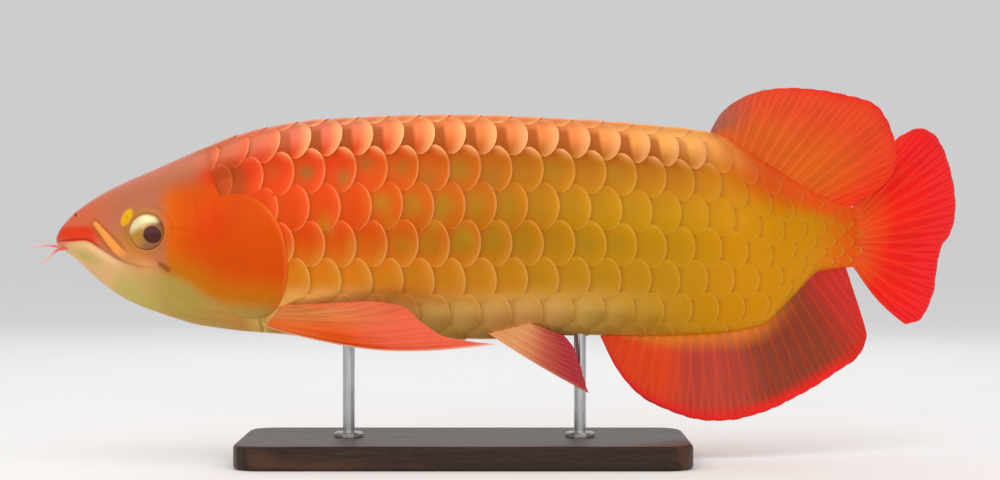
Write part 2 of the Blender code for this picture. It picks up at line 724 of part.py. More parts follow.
def anal_fin(material):
    root = [(s, 0, BOTTOM(s) + 0.004) for s in (0.3672, 0.4050, 0.4400, 0.4720, 0.4950, 0.5180, 0.5370)]
    margin = [
        (0.3655, 0, 0.0790), (0.3771, 0, 0.0602), (0.3919, 0, 0.0433), (0.4137, 0, 0.0318), (0.4411, 0, 0.0256),
        (0.4713, 0, 0.0291), (0.5040, 0, 0.0413), (0.5332, 0, 0.0564), (0.5512, 0, 0.0684), (0.5563, 0, 0.0807),
        (0.5512, 0, 0.0966), (0.5450, 0, 0.1120),
    ]

    def sway(a, b):
        return b * (0.0020 * math.sin(10.0 * a + 1.0) + 0.0015 * a)

    made = fin("anal_fin", root, margin, 26, material, sway=sway)
    combine(made, "DIFFERENCE", BODY_CLEARANCE)
    keep_largest(made)
    return made


def caudal_fin(material):
    start = TAIL_BASE - 0.004
    root = [(start, 0, z) for z in (0.1685, 0.1600, 0.1500, 0.1400, 0.1315)]
    margin = [
        (0.5871, 0, 0.2201), (0.6076, 0, 0.2263), (0.6249, 0, 0.2212), (0.6380, 0, 0.2053), (0.6451, 0, 0.1840),
        (0.6451, 0, 0.1676), (0.6380, 0, 0.1519), (0.6275, 0, 0.1420), (0.6237, 0, 0.1271), (0.6213, 0, 0.1094),
        (0.6098, 0, 0.0920), (0.5940, 0, 0.0882),
    ]

    def sag(a, b):
        edge = 2 * a - 1
        return (-0.002 * abs(edge) * math.sin(math.pi * b), 0, -0.004 * edge * math.sin(math.pi * b))

    def sway(a, b):
        return b * (0.0022 * math.sin(7.0 * a + 0.8) + 0.0010)

    made = fin("caudal_fin", root, margin, 16, material, sag=sag, sway=sway, root_half=0.0034, ray_half=0.0010)
    combine(made, "DIFFERENCE", crosswise_block("ahead_of_tail_fin", TAIL_BASE + GAP, False))
    keep_largest(made)
    return made


def pectoral_fin(side, name, material):
    """The root runs up the shoulder behind the gill opening. The first ray is the longest."""
    def rooted(s, z):
        at = skin_beside(s, z, 1, -0.0040)
        return (s, at.y * side, at.z)

    root = [rooted(0.1395, 0.0895), rooted(0.1435, 0.0950), rooted(0.1490, 0.1030)]
    margin = [
        (0.2964, 0.0530, 0.0815), (0.2760, 0.0510, 0.0838), (0.2616, 0.0490, 0.0872), (0.2490, 0.0470, 0.0950),
        (0.2360, 0.0440, 0.1050), (0.2160, 0.0400, 0.1085), (0.1926, 0.0350, 0.1075), (0.1720, 0.0290, 0.1060),
    ]
    margin = [(s, y * side, z) for s, y, z in margin]

    def sag(a, b):
        arch = math.sin(math.pi * b)
        return (0, side * 0.0090 * (1 - 0.5 * a) * arch, -0.0100 * (1 - a) * arch)

    made = fin(name, root, margin, 7, material, sag=sag, root_half=0.0024, ray_half=0.0012)
    combine(made, "DIFFERENCE", BODY_CLEARANCE)
    keep_largest(made)
    return made


def pelvic_fin(side, name, material):
    def rooted(s, lateral):
        share = HALF_WIDTH(s)
        angle = math.asin(min(lateral / share, 1) ** (1 / LOWER(s)))
        height = WIDEST(s) - math.cos(angle) * (WIDEST(s) - BOTTOM(s))
        return (s, lateral * side, height + 0.0040)

    root = [rooted(0.2860, 0.0075), rooted(0.2960, 0.0100), rooted(0.3080, 0.0130)]
    margin = [
        (0.3562, 0.0250, 0.0470), (0.3535, 0.0235, 0.0560), (0.3500, 0.0215, 0.0680),
        (0.3460, 0.0195, 0.0780), (0.3400, 0.0180, 0.0850),
    ]
    margin = [(s, y * side, z) for s, y, z in margin]

    def sag(a, b):
        arch = math.sin(math.pi * b)
        return (0, side * 0.0020 * arch, -0.0012 * (1 - a) * arch)

    made = fin(name, root, margin, 6, material, sag=sag, root_half=0.0016, ray_half=0.0009)
    combine(made, "DIFFERENCE", BODY_CLEARANCE)
    keep_largest(made)
    return made


# Stand

def stand_base(material):
    middle = sum(place(s, 0, 0).x for s in ROD_PLACES.values()) / 2
    bm = bmesh.new()
    bmesh.ops.create_cube(bm, size=1.0)
    for v in bm.verts:
        v.co = Vector((v.co.x * BASE_LENGTH + middle, v.co.y * BASE_WIDTH, (v.co.z + 0.5) * BASE_HEIGHT))
    upright = [e for e in bm.edges if abs(e.verts[0].co.z - e.verts[1].co.z) > 0.001]
    bmesh.ops.bevel(
        bm, geom=upright, offset=BASE_CORNER, offset_type="OFFSET", segments=5, profile=0.5, affect="EDGES"
    )
    made = add_object("stand_base", bm, material)
    edge = made.modifiers.new("Rounded edge", "BEVEL")
    edge.width = 0.0022
    edge.segments = 2
    edge.limit_method = "ANGLE"
    edge.angle_limit = math.radians(60)
    take_evaluated_mesh(made)
    for name, along in ROD_PLACES.items():
        bm = bmesh.new()
        radius, depth = ROD_RADIUS + GAP, ROD_SOCKET + GAP
        bmesh.ops.create_cone(
            bm, cap_ends=True, segments=16, radius1=radius, radius2=radius, depth=depth * 2
        )
        for v in bm.verts:
            v.co += place(along, 0, BASE_HEIGHT)
        combine(made, "DIFFERENCE", add_object("socket_" + name, bm, None, CUTTERS))
    return made


def stand_rod(name, along, material):
    """A rod with a small collar at its foot. Its top takes the shape of the belly above it."""
    foot = BASE_HEIGHT - ROD_SOCKET
    collar = BASE_HEIGHT + GAP
    top = BOTTOM(along) + 0.012
    profile = [
        (0.0, top), (ROD_RADIUS, top), (ROD_RADIUS, collar + FLANGE_HEIGHT),
        (FLANGE_RADIUS - 0.001, collar + FLANGE_HEIGHT), (FLANGE_RADIUS, collar + FLANGE_HEIGHT - 0.001),
        (FLANGE_RADIUS, collar), (ROD_RADIUS, collar), (ROD_RADIUS, foot), (0.0, foot),
    ]
    bm = bmesh.new()
    made = [bm.verts.new((x, 0, z)) for x, z in profile]
    for a, b in zip(made, made[1:]):
        bm.edges.new((a, b))
    mesh = bpy.data.meshes.new(name)
    bm.to_mesh(mesh)
    bm.free()
    rod = bpy.data.objects.new(name, mesh)
    PARTS.objects.link(rod)
    mesh.materials.append(material)
    turned = rod.modifiers.new("Turned", "SCREW")
    turned.axis = "Z"
    turned.steps = turned.render_steps = 16
    turned.use_merge_vertices = True
    turned.merge_threshold = 0.00001
    turned.use_normal_calculate = True
    take_evaluated_mesh(rod)
    bm = bmesh.new()
    bm.from_mesh(rod.data)
    bmesh.ops.recalc_face_normals(bm, faces=bm.faces)
    for v in bm.verts:
        v.co += place(along, 0, 0)
    bm.to_mesh(rod.data)
    bm.free()
    combine(rod, "DIFFERENCE", BODY_CLEARANCE)
    keep_largest(rod)
    return rod


# Building the model

clear_scene()
PARTS = collection("asian_arowana")
CUTTERS = collection("cutters")

FLESH = {
    "head": finish_material("head", (0.72, 0.24, 0.10), 0.35),
    "jaw": finish_material("lower_jaw", (0.72, 0.50, 0.25), 0.35),
    "gill_cover": finish_material("gill_cover", (0.75, 0.13, 0.02), 0.25, 0.2),
    "torso": finish_material("torso", (0.72, 0.22, 0.04), 0.28, 0.3),
    "tail": finish_material("tail", (0.62, 0.28, 0.03), 0.28, 0.3),
    "barbel": finish_material("barbel", (0.80, 0.30, 0.22), 0.4),
}
FIN = {
    "dorsal": finish_material("dorsal_fin", (0.75, 0.10, 0.04), 0.35),
    "anal": finish_material("anal_fin", (0.60, 0.09, 0.05), 0.35),
    "caudal": finish_material("caudal_fin", (0.80, 0.02, 0.02), 0.35),
    "pectoral": finish_material("pectoral_fin", (0.80, 0.15, 0.06), 0.35),
    "pelvic": finish_material("pelvic_fin", (0.75, 0.22, 0.14), 0.35),
}
EYE_GLASS = finish_material("eye", (0.70, 0.66, 0.52), 0.08)
WOOD = finish_material("dark_wood", (0.035, 0.022, 0.016), 0.4)
STEEL = finish_material("satin_steel", (0.60, 0.60, 0.60), 0.3, 1.0)

BODY_CLEARANCE = scaled_body("body_clearance", None, GAP + 0.00003, CUTTERS)

# Head and lower jaw
HEAD_RINGS = [
    0.0, 0.0008, 0.0024, 0.0050, 0.0085, 0.0130, 0.0190, 0.0260, 0.0340, 0.0430, 0.0520, 0.0620, 0.0720,
    0.0830, 0.0950, 0.1070, 0.1190, 0.1310, 0.1450,
]
HEAD_CLEARANCE = loft("head_clearance", HEAD_RINGS, 36, lambda s, t: GAP + 0.00004, None, CUTTERS)
head = loft("head", HEAD_RINGS, 36, lambda s, t: 0.0, FLESH["head"])
join_all(head, head_details())
keep_largest(head)
lower_jaw = copy_of(head, "lower_jaw")
lower_jaw.data.materials.clear()
lower_jaw.data.materials.append(FLESH["jaw"])
combine(lower_jaw, "INTERSECT", prism("jaw_side", jaw_outline(0.0), 0.06))
keep_largest(lower_jaw)
combine(head, "DIFFERENCE", prism("jaw_space", jaw_outline(GAP), 0.06))
combine(head, "DIFFERENCE", prism("behind_neck", neck_outline(True, 0.0), 0.30))
for side in (-1, 1):
    combine(head, "DIFFERENCE", eye(side, "eye_socket", CUTTERS, GAP))
    for s, z, size in NOSTRILS:
        pit = ball("nostril_pit", skin_beside(s, z, side), outward(s, z, side), size * 0.75, 0.0016, CUTTERS, 8)
        combine(head, "DIFFERENCE", pit)
keep_largest(head)
eye(-1, "eye_left", PARTS, 0.0, EYE_GLASS)
eye(1, "eye_right", PARTS, 0.0, EYE_GLASS)
gill_cover(-1, "gill_cover_left", FLESH["gill_cover"])
gill_cover(1, "gill_cover_right", FLESH["gill_cover"])
barbel(-1, "barbel_left", FLESH["barbel"])
barbel(1, "barbel_right", FLESH["barbel"])

# Torso and tail stalk, from one scaled body
torso = scaled_body("torso", FLESH["torso"])
tail = copy_of(torso, "tail")
tail.data.materials.clear()
tail.data.materials.append(FLESH["tail"])
combine(torso, "DIFFERENCE", prism("ahead_of_neck", neck_outline(False, GAP), 0.30))
combine(torso, "DIFFERENCE", crosswise_block("behind_vent", VENT_SEAM - GAP / 2, True))
keep_largest(torso)
combine(tail, "DIFFERENCE", crosswise_block("ahead_of_vent", VENT_SEAM + GAP / 2, False))
combine(tail, "DIFFERENCE", crosswise_block("behind_tail_base", TAIL_BASE, True))
keep_largest(tail)

# Fins
dorsal_fin(FIN["dorsal"])
anal_fin(FIN["anal"])
caudal_fin(FIN["caudal"])
pectoral_fin(-1, "pectoral_fin_left", FIN["pectoral"])
pectoral_fin(1, "pectoral_fin_right", FIN["pectoral"])
pelvic_fin(-1, "pelvic_fin_left", FIN["pelvic"])
pelvic_fin(1, "pelvic_fin_right", FIN["pelvic"])

# Stand
stand_base(WOOD)
stand_rod("stand_rod_front", ROD_PLACES["front"], STEEL)
stand_rod("stand_rod_rear", ROD_PLACES["rear"], STEEL)

# Smooth shading between sharp edges, fin rays among them, and the origin under the model's middle
low, high = Vector((9, 9, 9)), Vector((-9, -9, -9))
for obj in PARTS.objects:
    obj.data.shade_smooth()
    obj.data.set_sharp_from_angle(angle=math.radians(10 if "_fin" in obj.name else 38))
    for v in obj.data.vertices:
        low = Vector(map(min, low, v.co))
        high = Vector(map(max, high, v.co))
middle = Vector(((low.x + high.x) / 2, (low.y + high.y) / 2, low.z))
for obj in PARTS.objects:
    for v in obj.data.vertices:
        v.co -= middle
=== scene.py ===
import math

import bpy
import numpy as np
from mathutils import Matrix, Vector


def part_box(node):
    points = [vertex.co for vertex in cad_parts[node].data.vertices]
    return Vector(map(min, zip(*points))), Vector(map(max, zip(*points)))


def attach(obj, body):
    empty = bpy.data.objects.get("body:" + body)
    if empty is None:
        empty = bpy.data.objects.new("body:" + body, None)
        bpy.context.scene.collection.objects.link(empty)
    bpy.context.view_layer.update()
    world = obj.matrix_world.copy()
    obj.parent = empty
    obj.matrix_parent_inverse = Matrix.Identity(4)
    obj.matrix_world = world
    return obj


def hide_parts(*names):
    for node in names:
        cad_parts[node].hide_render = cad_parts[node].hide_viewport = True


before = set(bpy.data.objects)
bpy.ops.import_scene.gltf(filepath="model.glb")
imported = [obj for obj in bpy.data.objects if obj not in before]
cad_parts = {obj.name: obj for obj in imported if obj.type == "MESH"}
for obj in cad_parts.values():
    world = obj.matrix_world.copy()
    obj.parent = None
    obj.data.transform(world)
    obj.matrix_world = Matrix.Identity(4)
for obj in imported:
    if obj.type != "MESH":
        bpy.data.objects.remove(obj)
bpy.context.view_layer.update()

chance = np.random.default_rng(41)  # one seeded source, always drawn in the same order

# Body sizes. Metres; stations run from the snout tip to just past the tail fin base:
# distance, top, bottom, half width, height of the widest place, fullness above and below it.
body = {
    "length": 0.544,
    "bendStart": 0.300,
    "tailTurn": math.radians(24),
    "tailBase": 0.5480,
    "rodPlaces": (0.1960, 0.3515),
    "stations": (
        (0.0000, 0.1500, 0.1466, 0.0020, 0.1482, 0.90, 0.90),
        (0.0020, 0.1548, 0.1434, 0.0052, 0.1490, 0.88, 0.90),
        (0.0060, 0.1600, 0.1405, 0.0084, 0.1495, 0.85, 0.95),
        (0.0130, 0.1670, 0.1355, 0.0116, 0.1505, 0.80, 1.00),
        (0.0290, 0.1780, 0.1201, 0.0160, 0.1525, 0.78, 1.10),
        (0.0480, 0.1875, 0.1070, 0.0197, 0.1545, 0.78, 1.15),
        (0.0690, 0.1967, 0.0984, 0.0232, 0.1570, 0.78, 1.20),
        (0.0995, 0.2103, 0.0898, 0.0275, 0.1590, 0.80, 1.20),
        (0.1350, 0.2222, 0.0863, 0.0308, 0.1610, 0.84, 1.20),
        (0.1800, 0.2294, 0.0836, 0.0326, 0.1630, 0.88, 1.22),
        (0.2640, 0.2323, 0.0818, 0.0334, 0.1650, 0.92, 1.25),
        (0.3500, 0.2292, 0.0845, 0.0306, 0.1640, 0.96, 1.28),
        (0.4050, 0.2250, 0.0832, 0.0262, 0.1610, 1.00, 1.30),
        (0.4400, 0.2210, 0.0842, 0.0222, 0.1580, 1.02, 1.30),
        (0.4750, 0.2025, 0.0895, 0.0174, 0.1540, 1.02, 1.25),
        (0.5000, 0.1880, 0.1110, 0.0130, 0.1510, 1.00, 1.10),
        (0.5180, 0.1785, 0.1265, 0.0098, 0.1505, 1.00, 1.00),
        (0.5440, 0.1706, 0.1292, 0.0052, 0.1500, 1.00, 1.00),
        (0.5600, 0.1695, 0.1300, 0.0036, 0.1500, 1.00, 1.00),
    ),
}

baseLow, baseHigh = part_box("stand_base")
shift = np.array([(baseLow.x + baseHigh.x) / 2 - sum(body["rodPlaces"]) / 2, (baseLow.y + baseHigh.y) / 2, 0.0])


# Curves

def fade(value, start, end):
    t = np.clip((np.asarray(value, float) - start) / (end - start), 0, 1)
    return t * t * (3 - 2 * t)


def bell(value, middle, reach):
    return np.exp(-(((np.asarray(value, float) - middle) / reach) ** 2))


def smoothCurve(x, y):  # passes through every height and never overshoots
    x, y = np.array(x, float), np.array(y, float)
    step = np.diff(x)
    slope = np.diff(y) / step
    tangent = np.zeros_like(y)
    tangent[0], tangent[-1] = slope[0], slope[-1]
    for i in range(1, len(x) - 1):
        if slope[i - 1] * slope[i] > 0:
            near, far = 2 * step[i] + step[i - 1], step[i] + 2 * step[i - 1]
            tangent[i] = (near + far) / (near / slope[i - 1] + far / slope[i])

    def value(at):
        at = np.clip(at, x[0], x[-1])
        i = np.clip(np.searchsorted(x, at, side="right") - 1, 0, len(step) - 1)
        t = (at - x[i]) / step[i]
        early = y[i] * (1 + 2 * t) * (1 - t) ** 2 + tangent[i] * step[i] * t * (1 - t) ** 2
        late = y[i + 1] * t * t * (3 - 2 * t) + tangent[i + 1] * step[i] * t * t * (t - 1)
        return early + late

    return value


def curveThrough(points, samples):  # centripetal Catmull-Rom, evenly sampled
    p = [np.array(q, float) for q in points]
    p = [2 * p[0] - p[1], *p, 2 * p[-1] - p[-2]]
    fine = []
    for a, b, c, d in zip(p, p[1:], p[2:], p[3:]):
        t0, t1 = 0.0, max(np.linalg.norm(b - a), 1e-9) ** 0.5
        t2 = t1 + max(np.linalg.norm(c - b), 1e-9) ** 0.5
        t3 = t2 + max(np.linalg.norm(d - c), 1e-9) ** 0.5
        for t in np.linspace(t1, t2, 24, endpoint=False):
            ab = (t1 - t) / (t1 - t0) * a + (t - t0) / (t1 - t0) * b
            bc = (t2 - t) / (t2 - t1) * b + (t - t1) / (t2 - t1) * c
            cd = (t3 - t) / (t3 - t2) * c + (t - t2) / (t3 - t2) * d
            abc = (t2 - t) / (t2 - t0) * ab + (t - t0) / (t2 - t0) * bc
            bcd = (t3 - t) / (t3 - t1) * bc + (t - t1) / (t3 - t1) * cd
            fine.append((t2 - t) / (t2 - t1) * abc + (t - t1) / (t2 - t1) * bcd)
    fine = np.array([*fine, p[-2]])
    length = np.concatenate([[0], np.cumsum(np.linalg.norm(np.diff(fine, axis=0), axis=1))])
    even = np.linspace(0, length[-1], samples)
    return np.stack([np.interp(even, length, column) for column in fine.T], axis=1)


# The body's surface

columns = list(zip(*body["stations"]))
topOf, bottomOf, halfWidthOf, widestOf, upperOf, lowerOf = (smoothCurve(columns[0], c) for c in columns[1:])

bendAlong = np.arange(0, 0.70, 0.0005)
bendHeading = body["tailTurn"] * np.clip((bendAlong - body["bendStart"]) / (body["length"] - body["bendStart"]), 0, None) ** 2
bendX = np.concatenate([[0], np.cumsum(np.cos(bendHeading[:-1]) * 0.0005)])
bendY = np.concatenate([[0], np.cumsum(np.sin(bendHeading[:-1]) * 0.0005)])


def placed(along, lateral, height):  # fish measures to the model's own frame
    x, y, heading = (np.interp(along, bendAlong, c) for c in (bendX, bendY, bendHeading))
    x = x + np.minimum(along, 0)
    return np.stack(np.broadcast_arrays(x - np.sin(heading) * lateral, y + np.cos(heading) * lateral, height), -1) + shift


def sectionRow(along, shares):  # half a cross section, back to belly: lateral, height and its outward lean
    angle = np.linspace(0, math.pi, 241)
    sine, cosine = np.sin(angle).clip(0), np.cos(angle)
    lateral = halfWidthOf(along) * sine ** np.where(cosine > 0, upperOf(along), lowerOf(along))
    widest = widestOf(along)
    height = widest + cosine * np.where(cosine > 0, topOf(along) - widest, widest - bottomOf(along))
    length = np.concatenate([[0], np.cumsum(np.hypot(np.diff(lateral), np.diff(height)))])
    outLateral, outHeight = -np.gradient(height), np.gradient(lateral)
    size = np.hypot(outLateral, outHeight)
    outLateral, outHeight = outLateral / size, outHeight / size
    outLateral[[0, -1]] = 0
    outHeight[0], outHeight[-1] = 1, -1
    return np.stack([np.interp(shares, length / length[-1], c) for c in (lateral, height, outLateral, outHeight)], -1)


tableAlong = np.concatenate([np.linspace(0, 0.012, 120, endpoint=False), np.linspace(0.012, 0.56, 549)])
tableShares = np.linspace(0, 1, 257)
table = np.array([sectionRow(s, tableShares) for s in tableAlong])


def surfaceRead(along, turn):
    along, turn = np.broadcast_arrays(np.asarray(along, float), np.asarray(turn, float))
    at = np.clip(along, 0, tableAlong[-1])
    i = np.clip(np.searchsorted(tableAlong, at, side="right") - 1, 0, len(tableAlong) - 2)
    f = ((at - tableAlong[i]) / (tableAlong[i + 1] - tableAlong[i]))[..., None]
    j = np.abs((turn + 1) % 2 - 1) * 256
    low = np.minimum(j.astype(int), 255)
    g = (j - low)[..., None]
    ahead = table[i, low] * (1 - g) + table[i, low + 1] * g
    behind = table[i + 1, low] * (1 - g) + table[i + 1, low + 1] * g
    return ahead * (1 - f) + behind * f


def onSkin(along, turn, lift=0.0):  # turn is 0 on the back, 1 on the belly, negative on the left side
    lateral, height, outLateral, outHeight = np.moveaxis(surfaceRead(along, turn), -1, 0)
    side = np.where((np.asarray(turn) + 1) % 2 - 1 < 0, -1.0, 1.0)
    return placed(along, side * (lateral + lift * outLateral), height + lift * outHeight)


def skinHeight(along, turn):
    return surfaceRead(along, turn)[..., 1]


def turnAt(along, height):
    heights = surfaceRead(along, tableShares)[:, 1]
    return float(np.interp(-height, -heights, tableShares))


def beside(along, height, side, lift=0.0):
    return onSkin(along, side * turnAt(along, height), lift)


def lineReach(line, along, height):  # distance to a side-view line, its side (+ above), and how far along it
    flat = np.stack([np.ravel(along), np.ravel(height)], -1)
    run = np.gradient(line, axis=0)
    reach, side, part = (np.empty(len(flat)) for _ in range(3))
    for start in range(0, len(flat), 20000):
        gap = flat[start:start + 20000, None, :] - line[None]
        length = np.hypot(gap[..., 0], gap[..., 1])
        k = length.argmin(1)
        rows = np.arange(len(k))
        reach[start:start + 20000] = length[rows, k]
        side[start:start + 20000] = np.sign(run[k, 0] * gap[rows, k, 1] - run[k, 1] * gap[rows, k, 0])
        part[start:start + 20000] = k / (len(line) - 1)
    return (a.reshape(np.shape(along)) for a in (reach, side, part))


# Meshes

def newPiece(name, points, faces, material, readings=None, uv=None, sharp=50):
    mesh = bpy.data.meshes.new(name)
    mesh.from_pydata(np.asarray(points, float).reshape(-1, 3).tolist(), [], faces)
    mesh.shade_smooth()
    if sharp:
        mesh.set_sharp_from_angle(angle=math.radians(sharp))
    for key, values in (readings or {}).items():
        mesh.attributes.new(key, "FLOAT", "POINT").data.foreach_set("value", np.ravel(values).astype(np.float32))
    if uv is not None:
        corners = np.asarray(uv, np.float32).reshape(-1, 2)
        if len(corners) == len(mesh.vertices):
            order = np.empty(len(mesh.loops), int)
            mesh.loops.foreach_get("vertex_index", order)
            corners = corners[order]
        mesh.uv_layers.new(name="OFBake").data.foreach_set("uv", corners.ravel())
    mesh.materials.append(material)
    piece = bpy.data.objects.new(name, mesh)
    bpy.context.scene.collection.objects.link(piece)
    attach(piece, "root")
    return piece


def gridFaces(rows, across, closed=False, start=0, flip=False):
    faces = []
    for r in range(rows - 1):
        for c in range(across if closed else across - 1):
            d = (c + 1) % across
            quad = (start + r * across + c, start + r * across + d, start + (r + 1) * across + d, start + (r + 1) * across + c)
            faces.append(quad[::-1] if flip else quad)
    return faces


# Shader sums

class Wire:  # one node output; + - * / and ** on it add the Math nodes
    def __init__(self, tree, socket=None):
        self.tree, self.socket = tree, socket

    def node(self, kind, settings=None, sockets=None, output=0):
        made = self.tree.nodes.new(kind)
        for key, value in (settings or {}).items():
            if key == "stops":
                ramp = made.color_ramp
                while len(ramp.elements) < len(value):
                    ramp.elements.new(0.5)
                for element, (place, colour) in zip(ramp.elements, value):
                    element.position, element.color = place, colour
            else:
                setattr(made, key, value)
        for key, value in (sockets or {}).items():
            if isinstance(value, Wire):
                self.tree.links.new(value.socket, made.inputs[key])
            else:
                made.inputs[key].default_value = value
        return Wire(self.tree, made.outputs[output])

    def sums(self, operation, *values, clamp=False):
        return self.node("ShaderNodeMath", {"operation": operation, "use_clamp": clamp}, dict(enumerate(values)))

    def __add__(self, other):
        return self.sums("ADD", self, other)

    def __sub__(self, other):
        return self.sums("SUBTRACT", self, other)

    def __rsub__(self, other):
        return self.sums("SUBTRACT", other, self)

    def __mul__(self, other):
        return self.sums("MULTIPLY", self, other)

    def __truediv__(self, other):
        return self.sums("DIVIDE", self, other)

    def __pow__(self, other):
        return self.sums("POWER", self, other)

    __radd__, __rmul__ = __add__, __mul__

    def reading(self, name):
        return self.node("ShaderNodeAttribute", {"attribute_name": name}, output=2)

    def ease(self, start, end, low=0.0, high=1.0):
        values = {0: self, 1: start, 2: end, 3: low, 4: high}
        return self.node("ShaderNodeMapRange", {"interpolation_type": "SMOOTHSTEP"}, values)

    def near(self, middle, reach):  # 1 at the middle, 0 a reach away
        return 1 - self.sums("ABSOLUTE", self - middle).ease(0.0, reach)

    def mixed(self, over, share, way="MIX"):  # colours
        return self.node("ShaderNodeMix", {"data_type": "RGBA", "blend_type": way}, {0: share, 6: self, 7: over}, 2)

    def noise(self, scale, detail=3.0, rough=0.5, where=None):
        sockets = {"Scale": scale, "Detail": detail, "Roughness": rough}
        sockets["Vector"] = where or self.place()
        return self.node("ShaderNodeTexNoise", None, sockets)

    def place(self, stretch=(1, 1, 1)):
        spot = self.node("ShaderNodeTexCoord", output=3)
        return self.node("ShaderNodeVectorMath", {"operation": "MULTIPLY"}, {0: spot, 1: stretch})

    def raised(self, height, distance, strength=1.0, under=None):
        sockets = {"Height": height, "Distance": distance, "Strength": strength}
        if under:
            sockets["Normal"] = under
        return self.node("ShaderNodeBump", None, sockets)

    def colour(self, text):
        return self.node("ShaderNodeMix", {"data_type": "RGBA"}, {0: 0.0, 6: paint(text), 7: paint(text)}, 2)


def paint(text):  # a screen colour as the shader's own numbers
    parts = [int(text[i:i + 2], 16) / 255 for i in (1, 3, 5)]
    return (*[p / 12.92 if p <= 0.04045 else ((p + 0.055) / 1.055) ** 2.4 for p in parts], 1.0)


def newFinish(name, build, **fixed):
    material = bpy.data.materials.new(name)
    material.use_nodes = True
    tree = material.node_tree
    shader = tree.nodes["Principled BSDF"]
    for key, value in fixed.items():
        shader.inputs[key.replace("_", " ")].default_value = value
    for key, wire in build(Wire(tree)).items():
        tree.links.new(wire.socket, shader.inputs[key])
    return material


# Camera and light

view = {"target": (0.2977, 0.0, 0.1483), "distance": 1.5, "rise": math.radians(0.8), "frameWidth": 0.672}


def makeCamera():
    camera = bpy.data.objects.new("camera", bpy.data.cameras.new("camera"))
    bpy.context.scene.collection.objects.link(camera)
    target = Vector(placed(*view["target"]))
    camera.location = target + Vector((0, -math.cos(view["rise"]), math.sin(view["rise"]))) * view["distance"]
    camera.rotation_euler = (math.pi / 2 - view["rise"], 0, 0)
    camera.data.sensor_width = 36
    camera.data.lens = 36 * view["distance"] / view["frameWidth"]
    camera.data.dof.use_dof = False
    camera.data.clip_start = 0.01
    bpy.context.scene.camera = camera


studio = {
    "floorColour": "#FBFAF9", "floorShade": "#F5F5F4", "floorReach": 40.0,
    "world": (0.98, 0.985, 1.0, 1.0), "worldStrength": 0.62,
    "lamps": (  # name, place, aimed at, width, height, watts, colour
        ("keyLamp", (-0.15, -0.35, 1.30), (0.0, 0.0, 0.15), 1.8, 1.0, 6.5, (1.0, 0.98, 0.95)),
        ("fillLamp", (0.10, -2.40, 0.75), (0.0, 0.0, 0.12), 4.0, 1.4, 19.0, (1.0, 0.99, 0.97)),
        ("backLamp", (0.10, 1.20, 0.90), (0.0, 0.0, 0.18), 1.6, 0.8, 3.0, (1.0, 1.0, 1.0)),
    ),
}


def makeStudio():
    world = bpy.data.worlds.new("studioAir")
    world.use_nodes = True
    air = world.node_tree.nodes["Background"]
    air.inputs["Color"].default_value = studio["world"]
    air.inputs["Strength"].default_value = studio["worldStrength"]
    bpy.context.scene.world = world
    bpy.context.scene.view_settings.view_transform = "Standard"
    for name, spot, aim, width, height, watts, tint in studio["lamps"]:
        lamp = bpy.data.lights.new(name, "AREA")
        lamp.shape, lamp.size, lamp.size_y, lamp.energy, lamp.color = "RECTANGLE", width, height, watts, tint
        holder = bpy.data.objects.new(name, lamp)
        holder.location = spot
        holder.rotation_euler = (Vector(aim) - Vector(spot)).to_track_quat("-Z", "Y").to_euler()
        bpy.context.scene.collection.objects.link(holder)
    reach = studio["floorReach"]
    mesh = bpy.data.meshes.new("paleFloor")
    mesh.from_pydata([(-reach, -reach, 0), (reach, -reach, 0), (reach, reach, 0), (-reach, reach, 0)], [], [(0, 1, 2, 3)])
    mesh.materials.append(newFinish("paleFloor", lambda w: {
        "Base Color": w.colour(studio["floorColour"]).mixed(paint(studio["floorShade"]), w.noise(5.0, 4.0)),
    }, Roughness=0.9, Specular_IOR_Level=0.1, Emission_Color=(1.0, 1.0, 1.0, 1.0), Emission_Strength=0.03))
    floor = bpy.data.objects.new("paleFloor", mesh)
    bpy.context.scene.collection.objects.link(floor)


makeCamera()
makeStudio()
print("stage: camera, lamps and floor")


# Markings that the skin, the gill covers and the scales share

warmGloss = (1.0, 0.55, 0.22, 1.0)  # tints the skin's own reflections

markings = {
    "flankFront": "#D84402", "flankMiddle": "#AC6A04", "flankRear": "#BC8400",
    # The two back colours on the next line are partly the fish's own colour and partly a painted highlight of light
    # from above.
    "shoulder": "#E83E14", "upperRear": "#B46414", "backFrontWithHighlight": "#DE7458", "backRearWithHighlight": "#F0864A",
    "lowerFlank": "#DC8014", "lowerRear": "#C48A10", "bellyFront": "#E4B860", "bellyRear": "#C88E02", "tailBase": "#EA5204",
    # The pectoral colour on the next line is partly the fish's own peach and partly painted light against the fin's
    # shadow.
    "pelvicFlush": "#E09A5C", "pectoralFlushAndPaintedLight": "#FFBA6A", "nape": "#CC7050", "dorsalFlush": "#DC4602",
}


